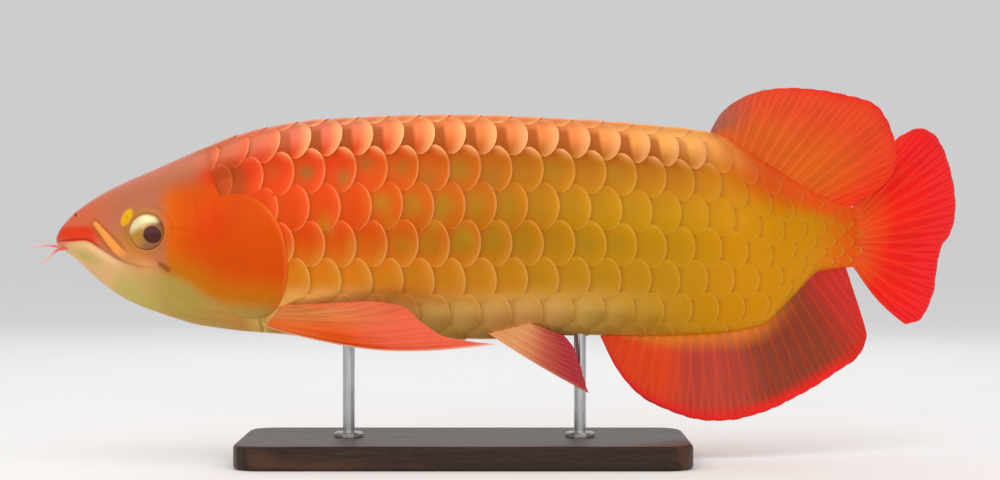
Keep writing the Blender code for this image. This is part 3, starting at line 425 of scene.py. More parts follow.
def bodyColour(w):
    along, turn = w.reading("along"), w.reading("turn")
    drift = (w.noise(9.0, 2.0) - 0.5) * 0.05
    along, turn = along + drift * 0.6, turn + drift
    flank = w.colour(markings["flankFront"]).mixed(paint(markings["flankMiddle"]), along.ease(0.19, 0.31))
    flank = flank.mixed(paint(markings["flankRear"]), along.ease(0.27, 0.40))
    upper = w.colour(markings["shoulder"]).mixed(paint(markings["upperRear"]), along.ease(0.18, 0.33))
    flank = flank.mixed(upper, 1 - turn.ease(0.20, 0.46))
    low = w.colour(markings["lowerFlank"]).mixed(paint(markings["lowerRear"]), along.ease(0.20, 0.38))
    flank = flank.mixed(low, turn.ease(0.52, 0.72))
    belly = w.colour(markings["bellyFront"]).mixed(paint(markings["bellyRear"]), along.ease(0.32, 0.44))
    flank = flank.mixed(belly, turn.ease(0.71, 0.86))
    flush = along.near(0.305, 0.05) * turn.ease(0.74, 0.90)
    flank = flank.mixed(paint(markings["pelvicFlush"]), flush * 0.7)
    # Light peach above the pectoral fin is partly the fish's own colour and partly painted light that lifts the shade
    # the fin casts on the body.
    flush = along.near(0.180, 0.060) * turn.ease(0.72, 0.82) * (1 - turn.ease(0.88, 0.95))
    flank = flank.mixed(paint(markings["pectoralFlushAndPaintedLight"]), flush * 0.85)
    flank = flank.mixed(paint("#DA8E00"), along.ease(0.40, 0.47) * 0.75)
    # The pink-to-apricot band along the back is partly the fish's own colour and partly a painted highlight of light
    # from above.
    back = w.colour(markings["backFrontWithHighlight"]).mixed(paint(markings["backRearWithHighlight"]), along.ease(0.17, 0.27))
    back = back.mixed(paint("#F6AA56"), along.ease(0.33, 0.42))
    flank = flank.mixed(back, (1 - turn.ease(0.12, 0.23)) * 0.9)
    flush = w.colour(markings["dorsalFlush"]).mixed(paint("#F44800"), along.ease(0.470, 0.510))
    flank = flank.mixed(flush, along.ease(0.425, 0.475) * (1 - turn.ease(0.16, 0.36)) * 0.9)
    flank = flank.mixed(paint(markings["nape"]), (1 - along.ease(0.105, 0.150)) * (1 - turn.ease(0.14, 0.26)) * 0.8)
    return flank.mixed(paint(markings["tailBase"]), along.ease(0.500, 0.545))


head = {
    # The crown rim colour on the next line is partly the head's own pink and partly a painted highlight of light from
    # above.
    "crown": "#BE7050", "crownRimWithHighlight": "#DC8A7A", "snout": "#D86844", "aroundEye": "#B88226", "cheek": "#E26800",
    "cheekRear": "#DA5200", "cover": "#D84C00", "coverFlush": "#E03404", "coverLow": "#CA7006", "lowerJaw": "#DEB078",
    # The jaw bar colour on the next line is a painted highlight on the ridge of the upper jaw bone.
    "throat": "#B49648", "throatGreen": "#AEB04C", "lip": "#E23C1E", "jawBar": "#F6A048", "jawShade": "#B05A14",
    # The nape patch colour on the next line is painted shade on the first scales behind the head.
    # The nostril pit colour on the next line is painted shade inside the pit.
    "mouthCorner": "#8A4A12", "nostrilSpot": "#E8B010", "nostrilPitShade": "#3A1208", "napeShadePatch": "#A8481A",
    # The cleft colour on the next line is painted shade in the mouth's crease.
    "cleftShade": "#A23A14", "jawBack": "#E0A25C",
}


def cheekColour(w, along, turn, throat):  # from behind the eye to the rear edge of the gill cover
    colour = w.colour(head["cheek"]).mixed(paint(head["cheekRear"]), along.ease(0.072, 0.092))
    colour = colour.mixed(paint(head["cover"]), along.ease(0.088, 0.116))
    colour = colour.mixed(paint(head["coverFlush"]), along.near(0.108, 0.022) * turn.near(0.46, 0.17) * 0.6)
    colour = colour.mixed(paint(head["coverLow"]), throat.ease(-0.024, -0.004))
    return colour.mixed(paint(head["throat"]), throat.ease(-0.006, 0.008))


def headColour(w):
    along, turn = w.reading("along"), w.reading("turn")
    mouth, bar, barPart = w.reading("mouth"), w.reading("jawBar"), w.reading("jawPart")
    throat, eye = w.reading("throat"), w.reading("eyeReach")
    drift = (w.noise(28.0, 3.0) - 0.5) * 0.010
    wandered, lowered = along + drift, throat + drift
    skin = w.colour(head["crown"]).mixed(paint(head["snout"]), 1 - wandered.ease(0.012, 0.050))
    # The top edge of the head in pale pink is partly the fish's colour and partly a painted highlight of light from
    # above.
    skin = skin.mixed(paint(head["crownRimWithHighlight"]), (1 - turn.ease(0.03, 0.17)) * 0.85)
    cheek = cheekColour(w, wandered, turn + drift * 3, lowered)
    skin = skin.mixed(cheek, (along + drift * 0.5).ease(0.069, 0.081) * (turn + drift * 3).ease(0.17, 0.31))
    skin = skin.mixed(paint(head["aroundEye"]), (1 - eye.ease(0.011, 0.020)) * (1 - along.ease(0.062, 0.078)) * 0.7)
    under = w.colour("#D08A30").mixed(paint("#E08A3C"), along.ease(0.045, 0.065))  # below the eye
    skin = skin.mixed(under, along.near(0.055, 0.022) * (throat + 0.010).near(0.0, 0.011) * 0.65)
    jaw = w.colour(head["lowerJaw"]).mixed(paint(head["throat"]), wandered.ease(0.035, 0.085))
    jaw = jaw.mixed(paint("#CFA070"), (turn.ease(0.93, 1.0)) * 0.5)
    # Paler cream along the mouth line on the lower jaw is partly the jaw's own colour and partly painted light against
    # the shade under the lip.
    jaw = jaw.mixed(paint("#FFD8A0"), along.near(0.030, 0.022) * (mouth + 0.002).near(0.0, 0.006) * 0.8)
    jaw = jaw.mixed(paint("#D0883C"), along.near(0.128, 0.034) * (1 - turn.ease(0.93, 1.0)) * 0.7)
    skin = skin.mixed(jaw, lowered.ease(-0.004, 0.005))
    green = w.noise(34.0, 2.0).ease(0.50, 0.70) * throat.ease(0.004, 0.012) * (1 - along.ease(0.07, 0.10))
    skin = skin.mixed(paint(head["throatGreen"]), green * 0.55)
    behind = along.near(0.061, 0.018) * (mouth - 0.001).near(0.0, 0.0085)  # behind the upper jaw plate
    skin = skin.mixed(paint(head["jawBack"]), behind * 0.9)
    lip = mouth.ease(-0.0020, -0.0002) * (1 - mouth.ease(0.0062, 0.0115)) * (1 - along.ease(0.024, 0.036))
    skin = skin.mixed(paint(head["lip"]), lip)
    chin = (1 - along.ease(0.004, 0.012)) * mouth.near(-0.002, 0.006)
    skin = skin.mixed(paint("#E26A58"), chin * 0.7)
    shade = bar.near(0.0034, 0.0022) * (1 - barPart.ease(0.35, 0.60)) * along.ease(0.020, 0.028)
    skin = skin.mixed(paint(head["jawShade"]), shade * 0.6)
    # A painted highlight along the ridge of the upper jaw bone, on its front part.
    skin = skin.mixed(paint(head["jawBar"]), (1 - bar.ease(0.0016, 0.0030)) * (1 - barPart.ease(0.40, 0.62)))
    skin = skin.mixed(paint(head["nostrilSpot"]), (1 - w.reading("spot").ease(0.0026, 0.0044)))
    # Painted shade along the crease of the mouth.
    cleftShade = (1 - w.sums("ABSOLUTE", mouth).ease(0.0002, 0.0012)) * (1 - along.ease(0.040, 0.070))
    skin = skin.mixed(paint(head["cleftShade"]), cleftShade * 0.45)
    skin = skin.mixed(paint(head["mouthCorner"]), (1 - w.reading("corner").ease(0.0006, 0.0030)) * 0.75)
    # Painted shade inside the front nostril's pit.
    return skin.mixed(paint(head["nostrilPitShade"]), (1 - w.reading("pit").ease(0.50, 1.0)) * 0.6)


# Skin of the head and body, in one piece

skinPlan = {
    "across": 360,
    "neckTop": 0.0995, "neckBottom": 0.1360,
    "scaleBed": 0.0013,  # how far the skin lies under the scales
    "eyeAlong": 0.0638, "eyeHeight": 0.1545, "eyeRadius": 0.0132, "eyeDepth": 0.0080, "eyeSink": 0.0038,
    "mouthLine": (
        (-0.0100, 0.1478), (0.0000, 0.1478), (0.0120, 0.1485), (0.0230, 0.1487), (0.0310, 0.1443),
        (0.0370, 0.1402), (0.0450, 0.1354), (0.0580, 0.1310), (0.0780, 0.1276),
    ),
    "jawBar": ((0.0286, 0.1594), (0.0344, 0.1528), (0.0402, 0.1460), (0.0464, 0.1398), (0.0585, 0.1342), (0.0735, 0.1302)),
    "throatLine": (
        (-0.0100, 0.1478), (0.0000, 0.1478), (0.0230, 0.1485), (0.0370, 0.1402), (0.0450, 0.1354), (0.0580, 0.1308),
        (0.0775, 0.1250), (0.0930, 0.1172), (0.1130, 0.1080), (0.1360, 0.1045), (0.1700, 0.1035),
    ),
    "nostrils": ((0.0140, 0.1650, 0.0014, 0.0013), (0.0497, 0.1630, 0.0016, 0.0006)),  # along, height, radius, depth
    "sutures": (  # side-view lines between the bones of the cheek, with depth and width
        (((0.0752, 0.1560), (0.0850, 0.1548), (0.0960, 0.1530)), 0.00025, 0.0010),
        (((0.0890, 0.1890), (0.0950, 0.1740), (0.0968, 0.1560), (0.0930, 0.1370), (0.0820, 0.1235), (0.0700, 0.1180)), 0.00035, 0.0012),
        (((0.0700, 0.1430), (0.0760, 0.1370), (0.0850, 0.1300)), 0.00022, 0.0010),
        (((0.0500, 0.1690), (0.0460, 0.1600), (0.0455, 0.1500), (0.0490, 0.1430)), 0.00018, 0.0010),
        (((0.0560, 0.1760), (0.0680, 0.1775), (0.0800, 0.1740), (0.0900, 0.1730)), 0.00016, 0.0012),
    ),
}


def neckAlong(turn):  # where the skin of the head ends and the first scales come out
    lowness = np.clip((1 - np.cos(math.pi * np.abs(turn))) / 2, 0, 1)
    return skinPlan["neckTop"] + (skinPlan["neckBottom"] - skinPlan["neckTop"]) * lowness


def eyeFrame(side):
    axis = np.array([-0.12, side * 0.98, 0.10])
    axis /= np.linalg.norm(axis)
    surface = beside(skinPlan["eyeAlong"], skinPlan["eyeHeight"], side)
    up = np.array([0, 0, 1.0]) - axis * axis[2]
    up /= np.linalg.norm(up)
    return surface, axis, up, np.cross(up, axis)


def skinRelief(along, turn, height):
    mouthLine = curveThrough(skinPlan["mouthLine"], 240)
    reach, side, _ = lineReach(mouthLine, along, height)
    mouth = reach * side
    open_ = 1 - fade(along, 0.062, 0.076)
    lift = -0.0008 * bell(mouth, 0, 0.00045) * open_
    lip = 1 - fade(along, 0.030, 0.052)
    lift += 0.0006 * bell(mouth, 0.0019, 0.0015) * lip + 0.0005 * bell(mouth, -0.0018, 0.0014) * lip
    barLine = curveThrough(skinPlan["jawBar"], 160)
    bar, barSide, part = lineReach(barLine, along, height)
    bar = bar / (0.62 + 0.50 * bell(part, 0.36, 0.26))  # thin at the top, widest below the middle
    ends = fade(part, 0.0, 0.14) * (1 - fade(part, 0.82, 1.0))
    below = (mouth > 0) & (barSide < 0)
    plate = np.where(below | (bar < 0.0010), 1.0, 1 - fade(bar, 0.0010, 0.0026)) * fade(mouth, 0.0004, 0.0018)
    lift += 0.0005 * plate * ends * (bar < 0.009) + 0.0008 * np.exp(-(bar / 0.0024) ** 4) * ends
    for line, depth, thin in skinPlan["sutures"]:
        gap, _, where = lineReach(curveThrough(line, 60), along, height)
        lift -= depth * bell(gap, 0, thin) * fade(where, 0, 0.15) * (1 - fade(where, 0.85, 1))
    spot = np.full(along.shape, 0.1)
    pit = np.full(along.shape, 9.0)
    for s, z, radius, depth in skinPlan["nostrils"]:
        gap = np.hypot(along - s, (height - z) * 0.8)
        lift += 0.0004 * bell(gap, radius * 1.15, 0.0009) - depth * (1 - fade(gap, 0, radius))
        pit = np.minimum(pit, gap / radius + (s > 0.03))
    lean = np.hypot((along - 0.0502) - (height - 0.1636) * 0.35, (height - 0.1636) * 0.62)
    spot = np.minimum(spot, lean)
    corner, _, _ = lineReach(curveThrough(((0.0728, 0.1326), (0.0752, 0.1308), (0.0776, 0.1288)), 20), along, height)
    throatLine = curveThrough(skinPlan["throatLine"], 200)
    reach, side, _ = lineReach(throatLine, along, height)
    under = np.abs(turn)
    lift -= 0.0007 * bell(under, 1.0, 0.035) * fade(along, 0.012, 0.030) * (1 - fade(along, 0.10, 0.13))
    for fold in (0.835, 0.885, 0.935):  # folds of the gill membrane
        lift -= 0.0004 * bell(under, fold, 0.013) * fade(along, 0.055, 0.085) * (1 - fade(along, 0.12, 0.14))
    lift += 0.00035 * bell(under, 0.0, 0.10) * fade(along, 0.02, 0.04) * (1 - fade(along, 0.07, 0.09))
    return lift, {"mouth": mouth, "jawBar": bar, "jawPart": part, "throat": -reach * side, "spot": spot, "corner": corner, "pit": pit}


def buildSkin():
    rings = np.concatenate([
        [0.0, 0.00015, 0.0004, 0.0008, 0.0013, 0.0019, 0.0026, 0.0034], np.arange(0.0042, 0.056, 0.00048),
        np.arange(0.056, 0.090, 0.00076), np.arange(0.090, 0.165, 0.0014), np.arange(0.165, 0.538, 0.0080),
        np.arange(0.541, 0.5532, 0.0010),
    ])
    across = skinPlan["across"]
    turns = -1 + 2 * np.arange(across) / across
    along, turn = np.meshgrid(rings, turns, indexing="ij")
    height = skinHeight(along, turn)
    lift, readings = skinRelief(along, turn, height)
    lift = lift * (1 - fade(along, 0.13, 0.16))
    points = onSkin(along, turn, 0.0)
    eyeReach = np.full(along.shape, 0.2)
    for side in (-1, 1):
        surface, axis, up, ahead = eyeFrame(side)
        gap = points - surface
        flat = gap - (gap @ axis)[..., None] * axis
        reach = np.where(turn * side > 0, np.linalg.norm(flat, axis=-1), 0.2)
        radius = skinPlan["eyeRadius"]
        lift += 0.0013 * bell(reach, radius - 0.0003, 0.0013) - 0.0060 * (1 - fade(reach, radius - 0.0034, radius - 0.0012))
        lift -= 0.0004 * bell(reach, radius + 0.0030, 0.0012)
        eyeReach = np.minimum(eyeReach, reach)
    behindNeck = along - neckAlong(turn)
    lift -= skinPlan["scaleBed"] * fade(behindNeck, 0.001, 0.011) * (1 - 0.7 * fade(along, 0.520, 0.545))
    points = onSkin(along, turn, lift)
    thinned = 0.88 * fade(along, 0.5450, 0.5525)[..., None]  # the stalk ends inside the tail fin
    points += (placed(along, 0, height) - points) * thinned
    count = len(rings) * across
    faces = gridFaces(len(rings), across, closed=True, flip=True)
    ends = [placed(-0.00005, 0, 0.1483), placed(0.5533, 0, 0.150)]
    faces += [(count, c, (c + 1) % across) for c in range(across)]
    last = count - across
    faces += [(count + 1, last + (c + 1) % across, last + c) for c in range(across)]
    readings.update({
        "along": along, "turn": np.abs(turn), "height": height, "eyeReach": eyeReach,
        "bed": fade(behindNeck - 0.016 * fade(np.abs(turn), 0.26, 0.34) * (1 - fade(np.abs(turn), 0.80, 0.88)), -0.012, 0.003),
    })
    extra = {"along": (0, 0.548), "turn": (0.5, 0.5), "height": (0.1483, 0.15), "eyeReach": (0.2, 0.2), "bed": (0, 1)}
    for key in readings:
        readings[key] = np.concatenate([np.ravel(readings[key]), extra.get(key, (0.0, 0.1))])
    uAlong = np.interp(rings, [0, 0.15, 0.56], [0.01, 0.60, 0.99])
    corners = []
    for face in faces:
        c = [(v % across, v // across) if v < count else None for v in face]
        known = [q for q in c if q]
        wrap = max(q[0] for q in known) - min(q[0] for q in known) > across / 2
        middle = sum(q[0] + (across if wrap and q[0] == 0 else 0) for q in known) / len(known)
        for q, v in zip(c, face):
            if q:
                corners.append((uAlong[q[1]], (q[0] + (across if wrap and q[0] == 0 else 0)) / across))
            else:
                corners.append((0.004 if v == count else 0.996, middle / across))
    return newPiece("skin", np.concatenate([points.reshape(-1, 3), ends]), faces, skinFinish(), readings, corners, 0)


def skinFinish():
    def build(w):
        bed = w.reading("bed")
        colour = headColour(w).mixed(bodyColour(w), bed)
        # Painted shade on the skin where it lies under the scales.
        colour = colour.mixed(paint("#7A3A18"), bed.ease(0.9, 1.0) * (1 - w.reading("along").ease(0.53, 0.55)) * 0.25)
        colour = colour.mixed(paint("#8A2A0C"), w.noise(48.0, 4.0).ease(0.52, 0.85) * 0.12)
        grain = w.noise(420.0, 2.0) * 0.25 + w.noise(60.0, 3.0)
        return {
            "Base Color": colour,
            "Roughness": w.noise(60.0, 3.0).ease(0.3, 0.7, 0.32, 0.42),
            "Metallic": w.reading("along").ease(0.060, 0.100, 0.06, 0.30),
            "Normal": w.raised(grain, 0.00030, 0.30),
        }
    return newFinish("headSkin", build, Coat_Weight=0.11, Coat_Roughness=0.18, Subsurface_Weight=0.08,
                     Subsurface_Radius=(1.0, 0.3, 0.1), Subsurface_Scale=0.003, Specular_IOR_Level=0.12, Specular_Tint=warmGloss)


skin = buildSkin()
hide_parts("head", "lower_jaw", "torso", "tail")
print("stage: skin")


# Gill covers

cover = {
    "middle": 0.1240, "reachFront": 0.0255, "reachRear": 0.0335, "turnMiddle": 0.615, "turnReach": 0.275,
    "under": 0.0005, "thin": 0.0007, "thick": 0.0021, "rings": 30, "around": 132,
}


def coverSpot(r, angle):
    cosine = np.cos(angle)
    reach = np.where(cosine > 0, cover["reachRear"], cover["reachFront"])
    along = cover["middle"] + reach * r * np.sign(cosine) * np.abs(cosine) ** 0.9
    turn = cover["turnMiddle"] + cover["turnReach"] * r * np.sin(angle)
    return along + 0.030 * (turn - cover["turnMiddle"]) * (1 - 0.6 * r * np.maximum(cosine, 0)), turn


def coverRear(turn):  # the plate's rear edge at this turn
    sine = np.clip((turn - cover["turnMiddle"]) / cover["turnReach"], -1, 1)
    return coverSpot(1.0, np.arcsin(sine))[0]


def buildCover(side, name):
    rings, around = cover["rings"], cover["around"]
    r, angle = np.meshgrid(np.linspace(0.02, 1, rings) ** 0.85, 2 * math.pi * np.arange(around) / around, indexing="ij")
    along, turn = coverSpot(r, angle)
    rearward = 0.5 + 0.5 * r * np.cos(angle)
    swell = np.sqrt(1 - r ** 6)
    plate = cover["thin"] + (cover["thick"] - cover["thin"]) * rearward * (0.35 + 0.65 * swell)
    ahead = -np.cos(angle) - 0.35 * np.sin(angle)
    attached = fade(ahead * r, -0.25, 0.98)
    top = cover["under"] + plate
    seam = bell(r, 0.70, 0.035) * fade(np.sin(angle), 0.15, 0.5) * fade(np.cos(angle), -0.75, -0.35)
    top = top * (1 - attached) ** 1.8 - 0.00014 - 0.0006 * fade(attached, 0.85, 1.0) - 0.00035 * seam
    bottom = np.minimum(0.0003 - 0.0016 * attached, top - 0.0004 * (1 - r ** 8) - 0.0001)
    outer, inner = onSkin(along, side * turn, top), onSkin(along, side * turn, bottom)
    count = rings * around
    faces = gridFaces(rings, around, closed=True, flip=True) + gridFaces(rings, around, closed=True, start=count)
    last = count - around
    for c in range(around):
        d = (c + 1) % around
        faces.append((last + c, last + d, count + last + d, count + last + c)[::-1])
    faces.append(tuple(range(around)))
    faces.append(tuple(count + c for c in reversed(range(around))))
    if side < 0:
        faces = [f[::-1] for f in faces]
    both = lambda a: np.concatenate([np.ravel(a), np.ravel(a)])
    height = skinHeight(along, turn)
    gap, above, _ = lineReach(curveThrough(skinPlan["throatLine"], 200), along, height)
    readings = {
        "along": both(along), "turn": both(turn), "throat": both(-gap * above), "plateReach": both(r), "rear": both(rearward),
    }
    flatX, flatY = 0.5 * r * np.cos(angle), 0.5 * r * np.sin(angle)
    uv = np.concatenate([
        np.stack([0.25 + flatX * 0.47, 0.5 + flatY * 0.94], -1).reshape(-1, 2),
        np.stack([0.75 + flatX * 0.47, 0.5 + flatY * 0.94], -1).reshape(-1, 2),
    ])
    piece = newPiece(name, np.concatenate([outer.reshape(-1, 3), inner.reshape(-1, 3)]), faces, coverFinish(), readings, uv, 55)
    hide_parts(name)
    return piece


def coverFinish():
    if "gillCoverShine" in bpy.data.materials:
        return bpy.data.materials["gillCoverShine"]

    def build(w):
        along, turn, throat, reach = (w.reading(k) for k in ("along", "turn", "throat", "plateReach"))
        drift = (w.noise(28.0, 3.0) - 0.5) * 0.010
        colour = cheekColour(w, along + drift, turn + drift * 3, throat + drift)
        colour = colour.mixed(paint("#F0702C"), reach.ease(0.90, 1.0) * w.reading("rear").ease(0.55, 0.9) * 0.55)
        colour = colour.mixed(paint("#8A2A0C"), w.noise(48.0, 4.0).ease(0.52, 0.85) * 0.14)
        grain = w.noise(420.0, 2.0) * 0.25 + w.noise(60.0, 3.0)
        return {
            "Base Color": colour,
            "Roughness": w.noise(60.0, 3.0).ease(0.3, 0.7, 0.32, 0.42),
            "Normal": w.raised(grain, 0.00030, 0.30),
        }
    return newFinish("gillCoverShine", build, Metallic=0.30, Coat_Weight=0.10, Coat_Roughness=0.18, Subsurface_Weight=0.08,
                     Subsurface_Radius=(1.0, 0.3, 0.1), Subsurface_Scale=0.003, Specular_IOR_Level=0.12, Specular_Tint=warmGloss)


buildCover(-1, "gill_cover_left")
buildCover(1, "gill_cover_right")
print("stage: gill covers")


# Scales: closed curved plates in staggered rows, each lying on the next

scales = {
    "rows": 14, "length": 0.0205, "tailLength": 0.0150, "countStart": 0.060, "lastTip": 0.5500,
    "step": 0.00095, "thickness": 0.00030, "halfWidth": 0.63, "roots": -1.42, "across": 13, "down": 13,
    "dark": (  # brownish blots: along, height, reach, strength
        (0.1477, 0.1944, 0.0045, 0.7), (0.1700, 0.1924, 0.0055, 1.0), (0.1950, 0.1891, 0.0055, 0.9), (0.2090, 0.1995, 0.0050, 0.8),
        (0.2332, 0.1977, 0.0060, 0.6), (0.2503, 0.1884, 0.0060, 0.6), (0.2700, 0.1930, 0.0060, 0.5), (0.2920, 0.1890, 0.0060, 0.5),
    ),
    "golden": (
        (0.1832, 0.1582, 0.0055, 1.0), (0.2016, 0.1470, 0.0050, 0.6), (0.2181, 0.1740, 0.0060, 0.7), (0.2253, 0.1601, 0.0050, 0.5),
        (0.2385, 0.1450, 0.0060, 0.5), (0.2562, 0.1595, 0.0060, 0.9), (0.2760, 0.1516, 0.0065, 0.9), (0.2977, 0.1549, 0.0065, 0.6),
    ),
}

countAlong = np.arange(scales["countStart"], 0.6001, 0.0005)
countLength = np.interp(countAlong, [0.35, body["length"]], [scales["length"], scales["tailLength"]])
countTotal = np.concatenate([[0], np.cumsum(0.0005 / countLength[:-1])])


def scaleStep(along, turn):  # how high the free edges stand: lower under the gill covers and at the fins
    turn = np.abs((turn + 1) % 2 - 1)
    rear = 0.158 - 0.05 * fade(0.62 - turn, 0.22, 0.36)
    shown = fade(along, rear - 0.002, rear + 0.010)
    atDorsal = fade(along, 0.425, 0.445) * (1 - fade(turn, 0.05, 0.16))
    atAnal = fade(along, 0.350, 0.370) * fade(turn, 0.84, 0.95)
    tail = (1 - 0.5 * fade(along, 0.46, 0.54)) * (1 - 0.45 * bell(turn, 0, 0.08))
    return np.maximum(0.00008, scales["step"] * shown * tail * (1 - 0.8 * atDorsal) * (1 - 0.8 * atAnal))


def scaleGrid():
    u = np.linspace(-1, 1, scales["across"])
    u = np.sign(u) * (1 - (1 - np.abs(u)) ** 1.25)
    v = np.linspace(0, 1, scales["down"])
    v = np.concatenate([v[:3], v[2] + (1 - v[2]) * (1 - (1 - (v[3:] - v[2]) / (1 - v[2])) ** 1.35)])
    return np.meshgrid(v, u, indexing="ij")


def blots(kind, along, height):
    return sum(share * bell(np.hypot(along - s, (height - z) * 0.85), 0, reach) for s, z, reach, share in scales[kind])


def buildScales(name, rows):
    half = scales["rows"] / 2
    v, u = scaleGrid()
    down, across = scales["down"], scales["across"]
    patch = down * across
    outer, readings, uv = [], {k: [] for k in ("along", "turn", "height", "across", "down", "shown", "wild", "dark", "golden")}, []
    lastCount = int(np.interp(scales["lastTip"], countAlong, countTotal))
    for place, row in enumerate(rows):
        middle = (row - half + 1) / half
        for k in range(1, lastCount + 1):
            tip = k + 0.5 * (row % 2)
            tipAlong = np.interp(tip, countTotal, countAlong)
            inside = abs((middle + 1) % 2 - 1)
            underCover = 0.34 < inside < 0.89 and tipAlong < coverRear(inside) - 0.012
            if tipAlong < neckAlong(inside) + 0.004 or underCover or tipAlong > scales["lastTip"]:
                chance.random(3)
                continue
            wild, twist, nudge = chance.random(3)
            x = scales["halfWidth"] * u * (1 - 0.12 * (1 - v) ** 2) * (1 + 0.03 * (nudge - 0.5))
            rear = -0.60 * (1 - np.sqrt(1 - (np.clip(np.abs(x), 0, 0.655) / 0.66) ** 2)) + 0.03 * (twist - 0.5) * x * 4
            behind = scales["roots"] + v * (rear - scales["roots"])
            along = np.interp(tip + behind, countTotal, countAlong)
            turn = middle + x / half
            step = scaleStep(tipAlong + 0 * along, turn)
            bulge = 0.00016 * (1 - u ** 2) * np.sin(math.pi * np.clip(behind + 1, 0, 1)) * step / scales["step"]
            edge = np.minimum((1 - v) * 1.4, 1 - np.abs(u))
            roll = 0.00017 * (1 - np.sqrt(1 - (1 - np.clip(edge / 0.09, 0, 1)) ** 2))
            top = step * (behind + 1) + bulge - roll - 0.00010 * fade(-behind, 0.9, 1.4)
            top = top - 0.0018 * (1 - fade(along - neckAlong(turn), -0.003, 0.0055))
            bottom = top - scales["thickness"] * (0.5 + 0.5 * np.clip(edge / 0.09, 0, 1)) - 0.00004
            outer.append(np.stack([onSkin(along, turn, top), onSkin(along, turn, bottom)]))
            height = skinHeight(along, turn)
            for key, value in (("along", along), ("turn", np.abs((turn + 1) % 2 - 1)), ("height", height), ("across", u),
                               ("down", v), ("shown", behind + 1), ("wild", wild + 0 * u),
                               ("dark", blots("dark", along, height)), ("golden", blots("golden", along, height))):
                readings[key].append(np.stack([value, value]))
            cell = np.array([k / (lastCount + 2), (place + 0.5) / len(rows)])
            size = np.array([0.92 / (lastCount + 2), 0.76 / len(rows)])
            topUv = cell + np.stack([v - 0.5, u * 0.5], -1) * size + np.array([0, -0.09 / len(rows)])
            lowUv = cell + np.stack([v - 0.5, u * 0.08], -1) * size + np.array([0, 0.41 / len(rows)])
            uv.append(np.stack([topUv, lowUv]))
    faces = []
    rim = [c for c in range(across)] + [r * across + across - 1 for r in range(1, down)]
    rim += [(down - 1) * across + c for c in range(across - 2, -1, -1)] + [r * across for r in range(down - 2, 0, -1)]
    one = gridFaces(down, across, flip=True) + gridFaces(down, across, start=patch)
    one += [(a, b, b + patch, a + patch) for a, b in zip(rim, rim[1:] + rim[:1])]
    one = np.array(one)
    faces = np.concatenate([one + 2 * patch * n for n in range(len(outer))])
    uvPoints = np.array(uv).reshape(-1, 2)
    centres = np.repeat(np.array(uv)[:, 0].mean(axis=(1, 2)), len(one), axis=0)
    corners = uvPoints[faces]
    wall = np.tile(np.arange(len(one)) >= 2 * (down - 1) * (across - 1), len(outer))
    topOnly = uvPoints[np.where(faces % (2 * patch) >= patch, faces - patch, faces)]
    pushed = topOnly + (topOnly - centres[:, None, :]) * np.where(faces % (2 * patch) >= patch, 0.03, 0.0)[..., None]
    corners = np.where(wall[:, None, None], pushed, corners)
    readings = {key: np.array(value) for key, value in readings.items()}
    piece = newPiece(name, np.array(outer), faces.tolist(), scaleFinish(), readings, corners, 62)
    print("stage:", name, len(outer), "scales")
    return piece


